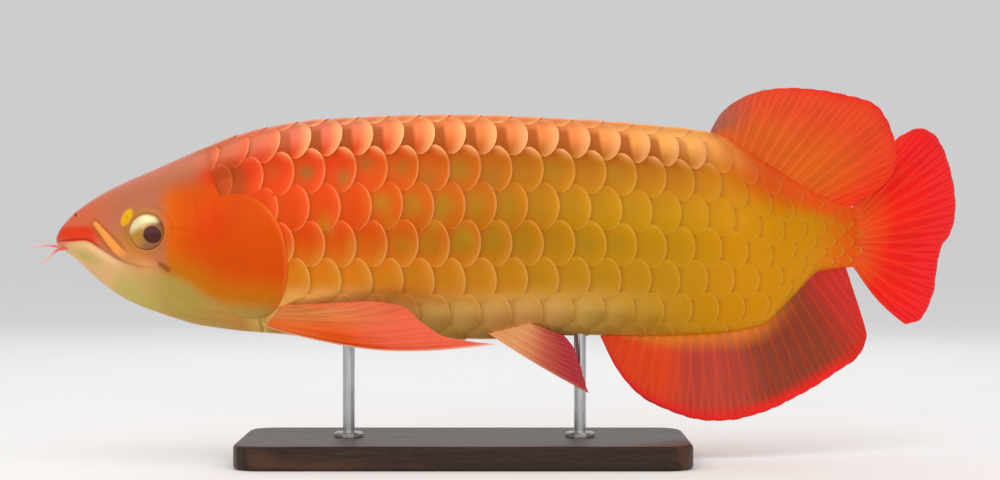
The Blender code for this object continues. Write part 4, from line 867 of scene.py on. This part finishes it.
def scaleFinish():
    if "scaleShine" in bpy.data.materials:
        return bpy.data.materials["scaleShine"]

    def build(w):
        along, turn, shown, across, wild = (w.reading(k) for k in ("along", "turn", "shown", "across", "wild"))
        height = w.reading("height")
        colour = bodyColour(w)
        uneven = w.noise(90.0, 3.0).ease(0.30, 0.62, 0.45, 1.0)
        colour = colour.mixed(paint("#8E6A28"), w.reading("dark") * uneven * 0.85)
        colour = colour.mixed(paint("#B08C1C"), w.reading("golden") * uneven * 0.75)
        away = w.sums("SQRT", (shown - 0.25) ** 2.0 * 1.2 + across * across * 0.7)
        soft = 1 - (away + (w.noise(110.0, 2.0) - 0.5) * 0.35).ease(0.15, 0.65)
        middleRows = along.ease(0.20, 0.24) * (1 - along.ease(0.36, 0.44)) * turn.ease(0.16, 0.30) * (1 - turn.ease(0.66, 0.76))
        colour = colour.mixed(paint("#A08018"), soft * middleRows * (0.10 + 0.45 * wild))
        topRow = (1 - turn.ease(0.20, 0.26)) * along.ease(0.13, 0.17) * (1 - along.ease(0.43, 0.46))
        # Rim colours of the scales are their own red, orange and gold. On the top row the apricot rim is a painted
        # highlight of light from above.
        rimColourAndHighlight = w.colour("#F25A2C").mixed(paint("#D4640C"), along.ease(0.16, 0.24))
        rimColourAndHighlight = rimColourAndHighlight.mixed(paint("#E09A38"), turn.ease(0.50, 0.66))
        rimColourAndHighlight = rimColourAndHighlight.mixed(paint("#D09408"), along.ease(0.27, 0.38)).mixed(paint("#FAAE70"), topRow)
        rimColourAndHighlight = rimColourAndHighlight.mixed(paint("#EC6A22"), along.ease(0.420, 0.460) * (1 - turn.ease(0.16, 0.36)))
        down, shone = w.reading("down"), along.ease(0.26, 0.42, 0.45, 0.26)
        colour = colour.mixed(rimColourAndHighlight, down.ease(0.66, 0.98) * (shone + 0.25 * topRow))
        # A thin pale line along each scale's free edge is a painted highlight.
        colour = colour.mixed(rimColourAndHighlight.mixed(paint("#FFC884"), 0.36), down.ease(0.925, 0.975) * shone)
        # A darker patch on the first scales behind the top of the head: painted shade.
        patch = w.sums("SQRT", (along - 0.1190) ** 2.0 + (height - 0.187) ** 2.0 * 0.8)
        colour = colour.mixed(paint(head["napeShadePatch"]), (1 - patch.ease(0.008, 0.017)) * 0.7)
        # Painted shade in notches at the front of each top-row scale, just behind the rim of the scale ahead.
        notchShade = (1 - (shown - turn * 0.9).ease(0.10, 0.27)) * topRow * turn.ease(0.08, 0.13) * (1 - along.ease(0.39, 0.46))
        colour = colour.mixed(paint("#9C4406"), notchShade * 0.8)
        # Painted shade at the front of each scale, where it comes out from under the scale ahead.
        colour = colour.mixed(paint("#9A5008"), (1 - shown.ease(-0.05, 0.20)) * 0.28)
        growth = w.sums("SINE", away * 95.0 + w.noise(60.0, 2.0) * 3.0).ease(0.2, 1.0)
        colour = colour.mixed(paint("#7A2E06"), growth * (1 - down.ease(0.86, 0.93)) * 0.07)
        grain = w.noise(90.0, 2.0)
        return {
            "Base Color": colour,
            "Roughness": w.noise(60.0, 2.0).ease(0.3, 0.7, 0.30, 0.38),
            "Metallic": shown.ease(0.1, 0.9, 0.25, 0.42),
            "Normal": w.raised(grain, 0.00012, 0.25),
        }
    return newFinish("scaleShine", build, Coat_Weight=0.12, Coat_Roughness=0.16, Specular_IOR_Level=0.12, Specular_Tint=warmGloss)


buildScales("scales_back", (5, 6, 7))
buildScales("scales_left_flank", (1, 2, 3, 4))
buildScales("scales_right_flank", (8, 9, 10, 11))
buildScales("scales_belly", (12, 13, 0))


# Eyes

# In the iris, the cream colour is a painted highlight of light from above and the low mauve-brown is painted shade. The
# gold is the iris's own colour.
eyePlan = {"pupil": 0.43, "iris": "#F6E6AC", "irisLowerShade": "#94603E", "gold": "#C08A24", "dark": "#4C1204", "ring": "#5A2E14"}


def buildEye(side, name):
    surface, axis, up, ahead = eyeFrame(side)
    centre = surface - axis * skinPlan["eyeSink"]
    rings, around = 40, 72
    tilt, angle = np.meshgrid(np.linspace(0.012, math.pi - 0.012, rings), 2 * math.pi * np.arange(around) / around, indexing="ij")
    flat, rise = np.sin(tilt), np.cos(tilt)
    swell = 0.0006 * np.exp(-((flat / 0.52) ** 4)) * (rise > 0)
    out = (rise * skinPlan["eyeDepth"] + swell)[..., None] * axis
    points = centre + out + (flat * skinPlan["eyeRadius"] * np.cos(angle))[..., None] * ahead
    points = points + (flat * skinPlan["eyeRadius"] * np.sin(angle))[..., None] * up
    faces = gridFaces(rings, around, closed=True, flip=True)
    faces += [tuple(range(around)), tuple((rings - 1) * around + c for c in reversed(range(around)))]
    front = rise > 0
    readings = {
        "disc": np.where(front, flat, 2 - flat), "lookUp": flat * np.sin(angle), "lookAhead": flat * np.cos(angle) * (1 if ahead[0] < 0 else -1),
        "spin": angle / (2 * math.pi),
    }
    size = np.where(front, flat, 1.0 + (1 - flat) * 0.4) * 0.35
    uv = np.stack([0.5 + size * np.cos(angle), 0.5 + size * np.sin(angle)], -1)
    piece = newPiece(name, points, faces, eyeFinish(), readings, uv, 0)
    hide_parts(name)


def eyeFinish():
    if "wetEye" in bpy.data.materials:
        return bpy.data.materials["wetEye"]

    def build(w):
        disc, up, ahead = w.reading("disc"), w.reading("lookUp"), w.reading("lookAhead")
        hole = w.sums("SQRT", (up + 0.20) ** 2.0 + (ahead + 0.36) ** 2.0)
        fleck = w.noise(900.0, 3.0)
        # Painted light on the iris over its gold: cream at the top front as light from above, mauve-brown at the lower
        # back as shade.
        iris = w.colour(eyePlan["irisLowerShade"]).mixed(paint(eyePlan["gold"]), (ahead + up * 0.4 + (fleck - 0.5) * 0.3).ease(-0.45, 0.35))
        iris = iris.mixed(paint(eyePlan["iris"]), (up + ahead * 0.45 + (fleck - 0.5) * 0.3).ease(0.0, 0.50))
        iris = iris.mixed(paint("#7A4A22"), w.noise(1500.0).ease(0.55, 0.75) * 0.25)
        iris = iris.mixed(paint("#A87420"), (1 - hole.ease(eyePlan["pupil"] + 0.01, eyePlan["pupil"] + 0.09)) * 0.6)
        colour = iris.mixed(paint(eyePlan["dark"]), 1 - hole.ease(eyePlan["pupil"] - 0.03, eyePlan["pupil"] + 0.03))
        colour = colour.mixed(paint(eyePlan["ring"]), disc.ease(0.86, 0.95) * 0.8)
        return {"Base Color": colour, "Metallic": hole.ease(0.44, 0.50, 0.0, 0.30)}
    return newFinish("wetEye", build, Roughness=0.35, Specular_IOR_Level=0.05, Coat_Weight=0.5, Coat_Roughness=0.06)


buildEye(-1, "eye_left")
buildEye(1, "eye_right")
print("stage: eyes")


# Barbels

barbel = {
    "thick": 0.0013, "thin": 0.0005, "sides": 16, "rings": 44,
    "steps": {  # from the root: forward, outward and up
        "barbel_left": ((-0.0030, 0.0016, -0.0006), (-0.0072, 0.0034, -0.0040), (-0.0112, 0.0050, -0.0078), (-0.0150, 0.0062, -0.0112)),
        "barbel_right": ((-0.0040, 0.0016, 0.0008), (-0.0130, 0.0036, 0.0018), (-0.0220, 0.0060, 0.0012), (-0.0285, 0.0066, 0.0022)),
    },
}


def buildBarbel(side, name):
    start = beside(0.0052, 0.1432, side, 0.0009)
    root = beside(0.0085, 0.1425, side, -0.0016)
    steps = [start + np.array((x, side * y, z)) for x, y, z in barbel["steps"][name]]
    path = curveThrough([root, start, *steps], barbel["rings"])
    part = np.linspace(0, 1, barbel["rings"])
    radius = (barbel["thick"] + (barbel["thin"] - barbel["thick"]) * part ** 0.8) * np.sqrt(np.clip((1 - part) / 0.04, 0, 1)).clip(0.12, 1)
    radius = radius * (1 + 0.03 * np.sin(part * 150)) + 0.0005 * bell(part, 0.0, 0.10)
    run = np.gradient(path, axis=0)
    run /= np.linalg.norm(run, axis=1)[:, None]
    first = np.cross(run, (0, 0, 1.0))
    first /= np.linalg.norm(first, axis=1)[:, None]
    second = np.cross(run, first)
    angle = 2 * math.pi * np.arange(barbel["sides"]) / barbel["sides"]
    points = path[:, None] + radius[:, None, None] * (np.cos(angle)[None, :, None] * first[:, None] + np.sin(angle)[None, :, None] * second[:, None])
    rings, around = barbel["rings"], barbel["sides"]
    faces = gridFaces(rings, around, closed=True)
    faces += [tuple(reversed(range(around))), tuple((rings - 1) * around + c for c in range(around))]
    readings = {"reach": np.repeat(part, around)}
    uv = []
    for face in faces[:-2]:
        wrap = max(v % around for v in face) == around - 1 and min(v % around for v in face) == 0
        uv += [(v // around / rings, ((v % around) + (around if wrap and v % around == 0 else 0)) / around) for v in face]
    uv += [(0.001, 0.001)] * around + [(0.999, 0.999)] * around
    piece = newPiece(name, points, faces, barbelFinish(), readings, uv, 0)
    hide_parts(name)


def barbelFinish():
    if "softBarbel" in bpy.data.materials:
        return bpy.data.materials["softBarbel"]

    def build(w):
        reach = w.reading("reach")
        colour = w.colour("#E0584A").mixed(paint("#E8B8AC"), (reach + (w.noise(200.0) - 0.5) * 0.3).ease(0.15, 0.75))
        return {"Base Color": colour, "Normal": w.raised(w.noise(900.0, 2.0), 0.0001, 0.5)}
    return newFinish("softBarbel", build, Roughness=0.38, Coat_Weight=0.4, Coat_Roughness=0.15, Subsurface_Weight=0.2,
                     Subsurface_Radius=(1.0, 0.4, 0.3), Subsurface_Scale=0.002)


buildBarbel(-1, "barbel_left")
buildBarbel(1, "barbel_right")
print("stage: barbels")


# Fins: one membrane each, its rays raised on both faces and branching towards the margin

def buildFin(name, plan, material):
    rays, steps, rows = plan["rays"], plan["columns"], plan["rows"]
    count = (rays - 1) * steps + 1
    rootLine, marginLine = (curveThrough(plan[k], 801) for k in ("root", "margin"))
    even = np.linspace(0, 1, 801)
    a = np.linspace(0, 1, count)
    phase = a * (rays - 1)
    offRay = phase - np.round(phase)
    start = np.stack([np.interp(a, even, c) for c in rootLine.T], -1)
    end = np.stack([np.interp(a, even, c) for c in marginLine.T], -1)
    ragged = chance.normal(0, 1, rays)
    between = phase - np.floor(phase)
    next_ = np.minimum(np.floor(phase).astype(int) + 1, rays - 1)
    rayRag = ragged[np.floor(phase).astype(int)] * (1 - fade(between, 0, 1)) + ragged[next_] * fade(between, 0, 1)
    edge = 1 - 0.008 * (2 * np.abs(offRay)) ** 2 - 0.003 * (1 - np.cos(8 * math.pi * offRay)) / 2 + rayRag * 0.0022 - 0.004
    edge = edge - 0.02 * (np.abs(2 * a - 1) > 0.999)
    b = np.linspace(0, 1, rows)[:, None] * edge[None, :]
    spread = b[..., None]
    middle = start[None] + (end - start)[None] * spread
    middle = middle + plan["sag"](a[None, :] + 0 * b, b)
    middle[..., 1] += plan["sway"](a[None, :], b)
    sheet = placed(middle[..., 0], middle[..., 1], middle[..., 2])
    normal = np.cross(np.gradient(sheet, axis=1), np.gradient(sheet, axis=0))
    normal /= np.maximum(np.linalg.norm(normal, axis=-1), 1e-12)[..., None]
    first, second = 0.25 * fade(b, plan["split"], 0.9), 0.125 * fade(b, plan["split"] + 0.28, 1.05)
    width = 0.24 - 0.10 * fade(b, plan["split"] - 0.1, 0.7) - 0.06 * fade(b, plan["split"] + 0.2, 1.0)
    away = np.abs(offRay[None])
    gap = np.minimum(np.abs(away - first - second), np.abs(away - first + second))
    ridge = np.sqrt(np.clip(1 - (gap / width) ** 2, 0, 1))
    tall = plan["rayHalf"] + (0.00046 - plan["rayHalf"]) * b
    half = 0.00030 + (tall - 0.00030) * ridge
    flesh = plan["rootHalf"] * np.sqrt(1 - plan.get("rounded", 0.0) * (2 * a - 1) ** 2)
    half = half + np.maximum(flesh[None] - half, 0) * (1 - fade(b, 0.0, plan.get("fleshy", 0.13))) ** 1.5
    half = half * (1 - 0.45 * fade(np.linspace(0, 1, rows)[:, None] + 0 * b, 0.965, 1.0))
    front, back = sheet + normal * half[..., None], sheet - normal * half[..., None]
    faces = gridFaces(rows, count) + gridFaces(rows, count, start=rows * count, flip=True)
    rim = list(range(count)) + [r * count + count - 1 for r in range(1, rows)]
    rim += [(rows - 1) * count + c for c in range(count - 2, -1, -1)] + [r * count for r in range(rows - 2, 0, -1)]
    faces += [(y, x, x + rows * count, y + rows * count) for x, y in zip(rim, rim[1:] + rim[:1])]
    span = np.linalg.norm(end - start, axis=1)
    both = lambda q: np.stack([q, q])
    readings = {
        "fin": both(a[None] + 0 * b), "reach": both(b), "ridge": both(ridge), "span": both(b * span[None]),
        "rayWild": both(rayRag[None] + 0 * b),
    }
    uvFront = np.stack(np.broadcast_arrays(0.01 + 0.98 * a[None], 0.01 + 0.48 * np.linspace(0, 1, rows)[:, None]), -1)
    uv = np.stack([uvFront, uvFront + np.array([0, 0.5])])
    piece = newPiece(name, np.stack([front, back]), faces, material, readings, uv, 0)
    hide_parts(name)
    print("stage:", name, len(faces), "faces")
    return piece


def finFinish(name, tint, see=0.0, glow=0.12):  # tint(w, fin, reach, ridge) gives the colour; see is how clear the web is
    def build(w):
        fin, reach, ridge, span = (w.reading(k) for k in ("fin", "reach", "ridge", "span"))
        colour, clear = tint(w, fin, reach, ridge)
        tone = w.reading("rayWild") * 0.04 + (w.noise(60.0, 3.0) - 0.5) * 0.25 + (1 - ridge) * 0.10
        colour = colour.mixed(paint("#6A0A02"), tone.sums("MAXIMUM", tone, 0.0))
        colour = colour.mixed(paint("#FF6430"), ridge.ease(0.5, 1.0) * 0.12)
        joints = w.sums("SINE", span * 3600.0).ease(0.4, 1.0) * ridge.ease(0.3, 0.9) * reach.ease(0.18, 0.4)
        colour = colour.mixed(paint("#8A1408"), joints * 0.10)
        made = {
            "Base Color": colour,
            "Roughness": ridge.ease(0.2, 0.9, 0.44, 0.34),
            "Normal": w.raised(w.noise(400.0, 3.0) * 0.4 - joints * 0.6, 0.00014, 0.4),
        }
        if see:
            made["Alpha"] = 1 - clear * (1 - ridge * 0.55) * see
        return made
    return newFinish(name, build, Coat_Weight=0.08, Coat_Roughness=0.15, Specular_IOR_Level=0.12, Subsurface_Weight=glow,
                     Subsurface_Radius=(1.0, 0.25, 0.12), Subsurface_Scale=0.003)


def noSag(a, b):
    return np.zeros((*np.broadcast(a, b).shape, 3))


dorsal = {
    "root": [(s, 0, float(topOf(s)) - 0.004) for s in (0.4400, 0.4600, 0.4850, 0.5120, 0.5380)],
    "margin": (
        (0.4405, 0, 0.2228), (0.4481, 0, 0.2345), (0.4606, 0, 0.2437), (0.4784, 0, 0.2500), (0.5077, 0, 0.2513),
        (0.5388, 0, 0.2472), (0.5614, 0, 0.2416), (0.5740, 0, 0.2270), (0.5804, 0, 0.2100),
        (0.5770, 0, 0.1950), (0.5667, 0, 0.1857), (0.5500, 0, 0.1775),
    ),
    "rays": 20, "columns": 16, "rows": 44, "split": 0.35, "rootHalf": 0.0017, "rayHalf": 0.0008,
    "sag": noSag, "sway": lambda a, b: b * (0.0016 * np.sin(9.0 * a + 0.6) - 0.0062 * a ** 2),
}


def dorsalTint(w, fin, reach, ridge):
    wander = (w.noise(22.0, 3.0) - 0.5) * 0.25
    colour = w.colour("#E26206").mixed(paint("#EC481C"), (reach + wander + fin * 0.25).ease(0.35, 0.95))
    colour = colour.mixed(paint("#A8604A"), (1 - (fin + wander * 0.4).ease(0.02, 0.25)) * reach.ease(0.12, 0.6))
    colour = colour.mixed(paint("#F4301C"), reach.ease(0.86, 1.0) * fin.ease(0.15, 0.45))
    colour = colour.mixed(paint("#F62C00"), (fin + wander * 0.3).ease(0.68, 0.95) * 0.85)
    return colour, (1 - fin.ease(0.0, 0.30)) * reach.ease(0.3, 0.8) + 0.15


anal = {
    "root": [(s, 0, float(bottomOf(s)) + 0.004) for s in (0.3672, 0.4050, 0.4400, 0.4720, 0.4950, 0.5180, 0.5370)],
    "margin": (
        (0.3655, 0, 0.0830), (0.3771, 0, 0.0602), (0.3919, 0, 0.0433), (0.4137, 0, 0.0318), (0.4411, 0, 0.0256),
        (0.4713, 0, 0.0291), (0.5040, 0, 0.0413), (0.5332, 0, 0.0564), (0.5512, 0, 0.0684), (0.5563, 0, 0.0807),
        (0.5512, 0, 0.0966), (0.5450, 0, 0.1120),
    ),
    "rays": 26, "columns": 14, "rows": 40, "split": 0.35, "rootHalf": 0.0017, "rayHalf": 0.0009,
    "sag": noSag, "sway": lambda a, b: b * (0.0020 * np.sin(10.0 * a + 1.0) + 0.0015 * a),
}


def analTint(w, fin, reach, ridge):
    wander = (w.noise(24.0, 3.0) - 0.5) * 0.2
    colour = w.colour("#EC440C").mixed(paint("#C6402C"), (fin + wander * 0.4).ease(0.20, 0.34))
    colour = colour.mixed(paint("#90340E"), (fin + wander * 0.5).ease(0.40, 0.58))
    colour = colour.mixed(paint("#E8801C"), (1 - (reach + wander * 0.3).ease(0.06, 0.30)) * (1 - fin.ease(0.5, 0.8)))
    colour = colour.mixed(paint("#F01C1A"), (reach + wander * 0.15).ease(0.80, 0.97) * (1 - fin.ease(0.72, 0.9) * 0.5))
    colour = colour.mixed(paint("#D8261A"), (fin + wander * 0.3).ease(0.74, 0.90))
    return colour, fin.ease(0.15, 0.5) * (1 - reach.ease(0.80, 0.98))


def tailSag(a, b):
    side = 2 * a - 1
    arch = np.sin(math.pi * b)
    return np.stack([-0.002 * np.abs(side) * arch, 0 * arch, -0.004 * side * arch], -1)


caudal = {
    "root": [(body["tailBase"] - 0.004, 0, z) for z in (0.1685, 0.1600, 0.1500, 0.1400, 0.1315)],
    "margin": (
        (0.5871, 0, 0.2201), (0.6076, 0, 0.2263), (0.6249, 0, 0.2212), (0.6380, 0, 0.2053), (0.6451, 0, 0.1840),
        (0.6451, 0, 0.1676), (0.6380, 0, 0.1519), (0.6275, 0, 0.1420), (0.6237, 0, 0.1271), (0.6213, 0, 0.1094),
        (0.6098, 0, 0.0920), (0.5940, 0, 0.0882),
    ),
    "rays": 16, "columns": 22, "rows": 48, "split": 0.25, "rootHalf": 0.0046, "rayHalf": 0.0010, "fleshy": 0.20, "rounded": 0.85,
    "sag": tailSag, "sway": lambda a, b: b * (0.0022 * np.sin(7.0 * a + 0.8) + 0.0010),
}


def tailTint(w, fin, reach, ridge):
    wander = (w.noise(20.0, 3.0) - 0.5) * 0.2
    colour = w.colour("#F05002").mixed(paint("#F81400"), (reach + wander).ease(0.10, 0.40))
    colour = colour.mixed(paint("#FA0414"), (reach + wander).ease(0.42, 0.78))
    colour = colour.mixed(paint("#F24A34"), (1 - (fin + wander * 0.3).ease(0.03, 0.16)) * 0.3)
    colour = colour.mixed(paint("#F03038"), reach.ease(0.955, 1.0) * 0.5)
    return colour, reach.ease(0.5, 0.9)


def sideFin(side, kind):
    def sunk(s, z, depth):
        lateral, height, outLateral, outHeight = surfaceRead(s, turnAt(s, z))
        return (s, float(lateral - depth * outLateral) * side, float(height - depth * outHeight))

    if kind == "pectoral":
        margin = (
            (0.2964, 0.0530, 0.0815), (0.2760, 0.0510, 0.0838), (0.2616, 0.0490, 0.0872), (0.2490, 0.0470, 0.0950),
            (0.2360, 0.0410, 0.1050), (0.2160, 0.0355, 0.1085), (0.1926, 0.0305, 0.1075), (0.1720, 0.0250, 0.1060),
        )

        def sag(a, b):
            arch = np.sin(math.pi * b)
            return np.stack([0 * arch, side * 0.0090 * (1 - 0.5 * a) * arch, -0.0100 * (1 - a) * arch], -1)

        return {
            "root": [sunk(s, z, 0.0040) for s, z in ((0.1395, 0.0895), (0.1435, 0.0950), (0.1490, 0.1030))],
            "margin": [(s, y * side, z) for s, y, z in margin],
            "rays": 7, "columns": 26, "rows": 56, "split": 0.30, "rootHalf": 0.0030, "rayHalf": 0.0012, "fleshy": 0.40,
            "sag": sag, "sway": lambda a, b: 0 * a * b,
        }
    margin = (
        (0.3562, 0.0250, 0.0470), (0.3535, 0.0235, 0.0560), (0.3500, 0.0215, 0.0680),
        (0.3460, 0.0195, 0.0780), (0.3400, 0.0180, 0.0850),
    )

    def bellyRoot(s, lateral):
        angle = math.asin(min(lateral / float(halfWidthOf(s)), 1) ** (1 / float(lowerOf(s))))
        return sunk(s, float(widestOf(s)) - math.cos(angle) * float(widestOf(s) - bottomOf(s)), 0.0055)

    def sagPelvic(a, b):
        arch = np.sin(math.pi * b)
        return np.stack([0 * arch, side * 0.0020 * arch, -0.0012 * (1 - a) * arch], -1)

    return {
        "root": [bellyRoot(0.2830, 0.0075), bellyRoot(0.2950, 0.0100), bellyRoot(0.3080, 0.0130)],
        "margin": [(s, y * side, z) for s, y, z in margin],
        "rays": 6, "columns": 20, "rows": 36, "split": 0.30, "rootHalf": 0.0020, "rayHalf": 0.0009, "fleshy": 0.30,
        "sag": sagPelvic, "sway": lambda a, b: 0 * a * b,
    }


def pectoralTint(w, fin, reach, ridge):
    wander = (w.noise(26.0, 3.0) - 0.5) * 0.2
    outer = w.colour("#F06E1E").mixed(paint("#F0560A"), (reach + wander).ease(0.14, 0.40))  # along the leading edge
    outer = outer.mixed(paint("#F06444"), (reach + wander).ease(0.40, 0.75))
    inner = w.colour("#EE8E48").mixed(paint("#E88448"), (reach + wander).ease(0.30, 0.70))
    inner = inner.mixed(paint("#F29A5C"), w.noise(1.0, 2.0, 0.5, w.place((20.0, 20.0, 260.0))).ease(0.5, 0.65) * 0.5)
    colour = outer.mixed(inner, (fin + wander * 0.5).ease(0.30, 0.62) * (1 - reach.ease(0.55, 0.95) * 0.7))
    return colour.mixed(paint("#F8C8B0"), (1 - fin.ease(0.015, 0.055)) * 0.9), fin.ease(0.2, 0.6)


def pelvicTint(w, fin, reach, ridge):
    wander = (w.noise(26.0, 3.0) - 0.5) * 0.2
    colour = w.colour("#F4AC6E").mixed(paint("#D26A4A"), (reach + wander).ease(0.26, 0.62))
    colour = colour.mixed(paint("#B02C38"), (reach + wander * 0.5).ease(0.46, 0.88))
    return colour.mixed(paint("#E8A080"), (1 - fin.ease(0.01, 0.06)) * 0.4), reach.ease(0.2, 0.7)


buildFin("dorsal_fin", dorsal, finFinish("dorsalFin", dorsalTint, 0.22))
buildFin("anal_fin", anal, finFinish("analFin", analTint, 0.14))
buildFin("caudal_fin", caudal, finFinish("tailFin", tailTint))
pectoralLook, pelvicLook = finFinish("pectoralFin", pectoralTint, 0.12), finFinish("pelvicFin", pelvicTint, 0.10)
for side, word in ((-1, "left"), (1, "right")):
    buildFin("pectoral_fin_" + word, sideFin(side, "pectoral"), pectoralLook)
    buildFin("pelvic_fin_" + word, sideFin(side, "pelvic"), pelvicLook)


# Stand: the base and rods keep their own shapes and get wood and steel

def woodBuild(w):
    grain = w.place((3.0, 26.0, 26.0))
    figure = w.node("ShaderNodeTexWave", {"wave_type": "BANDS", "bands_direction": "Y", "wave_profile": "SIN"},
                    {"Vector": grain, "Scale": 1.1, "Distortion": 7.0, "Detail": 4.0, "Detail Scale": 0.9, "Detail Roughness": 0.6})
    fibre = w.noise(1.0, 4.0, 0.6, w.place((60.0, 900.0, 900.0)))
    pores = w.noise(1.0, 2.0, 0.5, w.place((120.0, 1500.0, 1500.0))).ease(0.60, 0.70)
    colour = w.colour("#2A1A12").mixed(paint("#4C3020"), figure.ease(0.2, 0.9))
    colour = colour.mixed(paint("#5E3E2A"), fibre.ease(0.4, 0.8) * 0.35).mixed(paint("#140C08"), pores * 0.6)
    return {
        "Base Color": colour,
        "Roughness": fibre.ease(0.3, 0.7, 0.34, 0.48),
        "Normal": w.raised(fibre * 0.4 - pores * 0.8 + figure * 0.2, 0.00025, 0.35),
    }


def steelBuild(w):
    brushed = w.noise(1.0, 3.0, 0.6, w.place((900.0, 900.0, 60.0)))
    return {
        "Base Color": w.colour("#B8B9BA").mixed(paint("#8E9092"), brushed.ease(0.35, 0.75) * 0.5),
        "Roughness": brushed.ease(0.3, 0.7, 0.22, 0.36),
        "Normal": w.raised(brushed, 0.00005, 0.3),
    }


wood = newFinish("darkWood", woodBuild, Coat_Weight=0.08, Coat_Roughness=0.25, Specular_IOR_Level=0.2)
steel = newFinish("satinSteel", steelBuild, Metallic=1.0)
for node, finish in (("stand_base", wood), ("stand_rod_front", steel), ("stand_rod_rear", steel)):
    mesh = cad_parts[node].data
    for i in range(max(1, len(mesh.materials))):
        if i < len(mesh.materials):
            mesh.materials[i] = finish
        else:
            mesh.materials.append(finish)
print("stage: stand finishes")
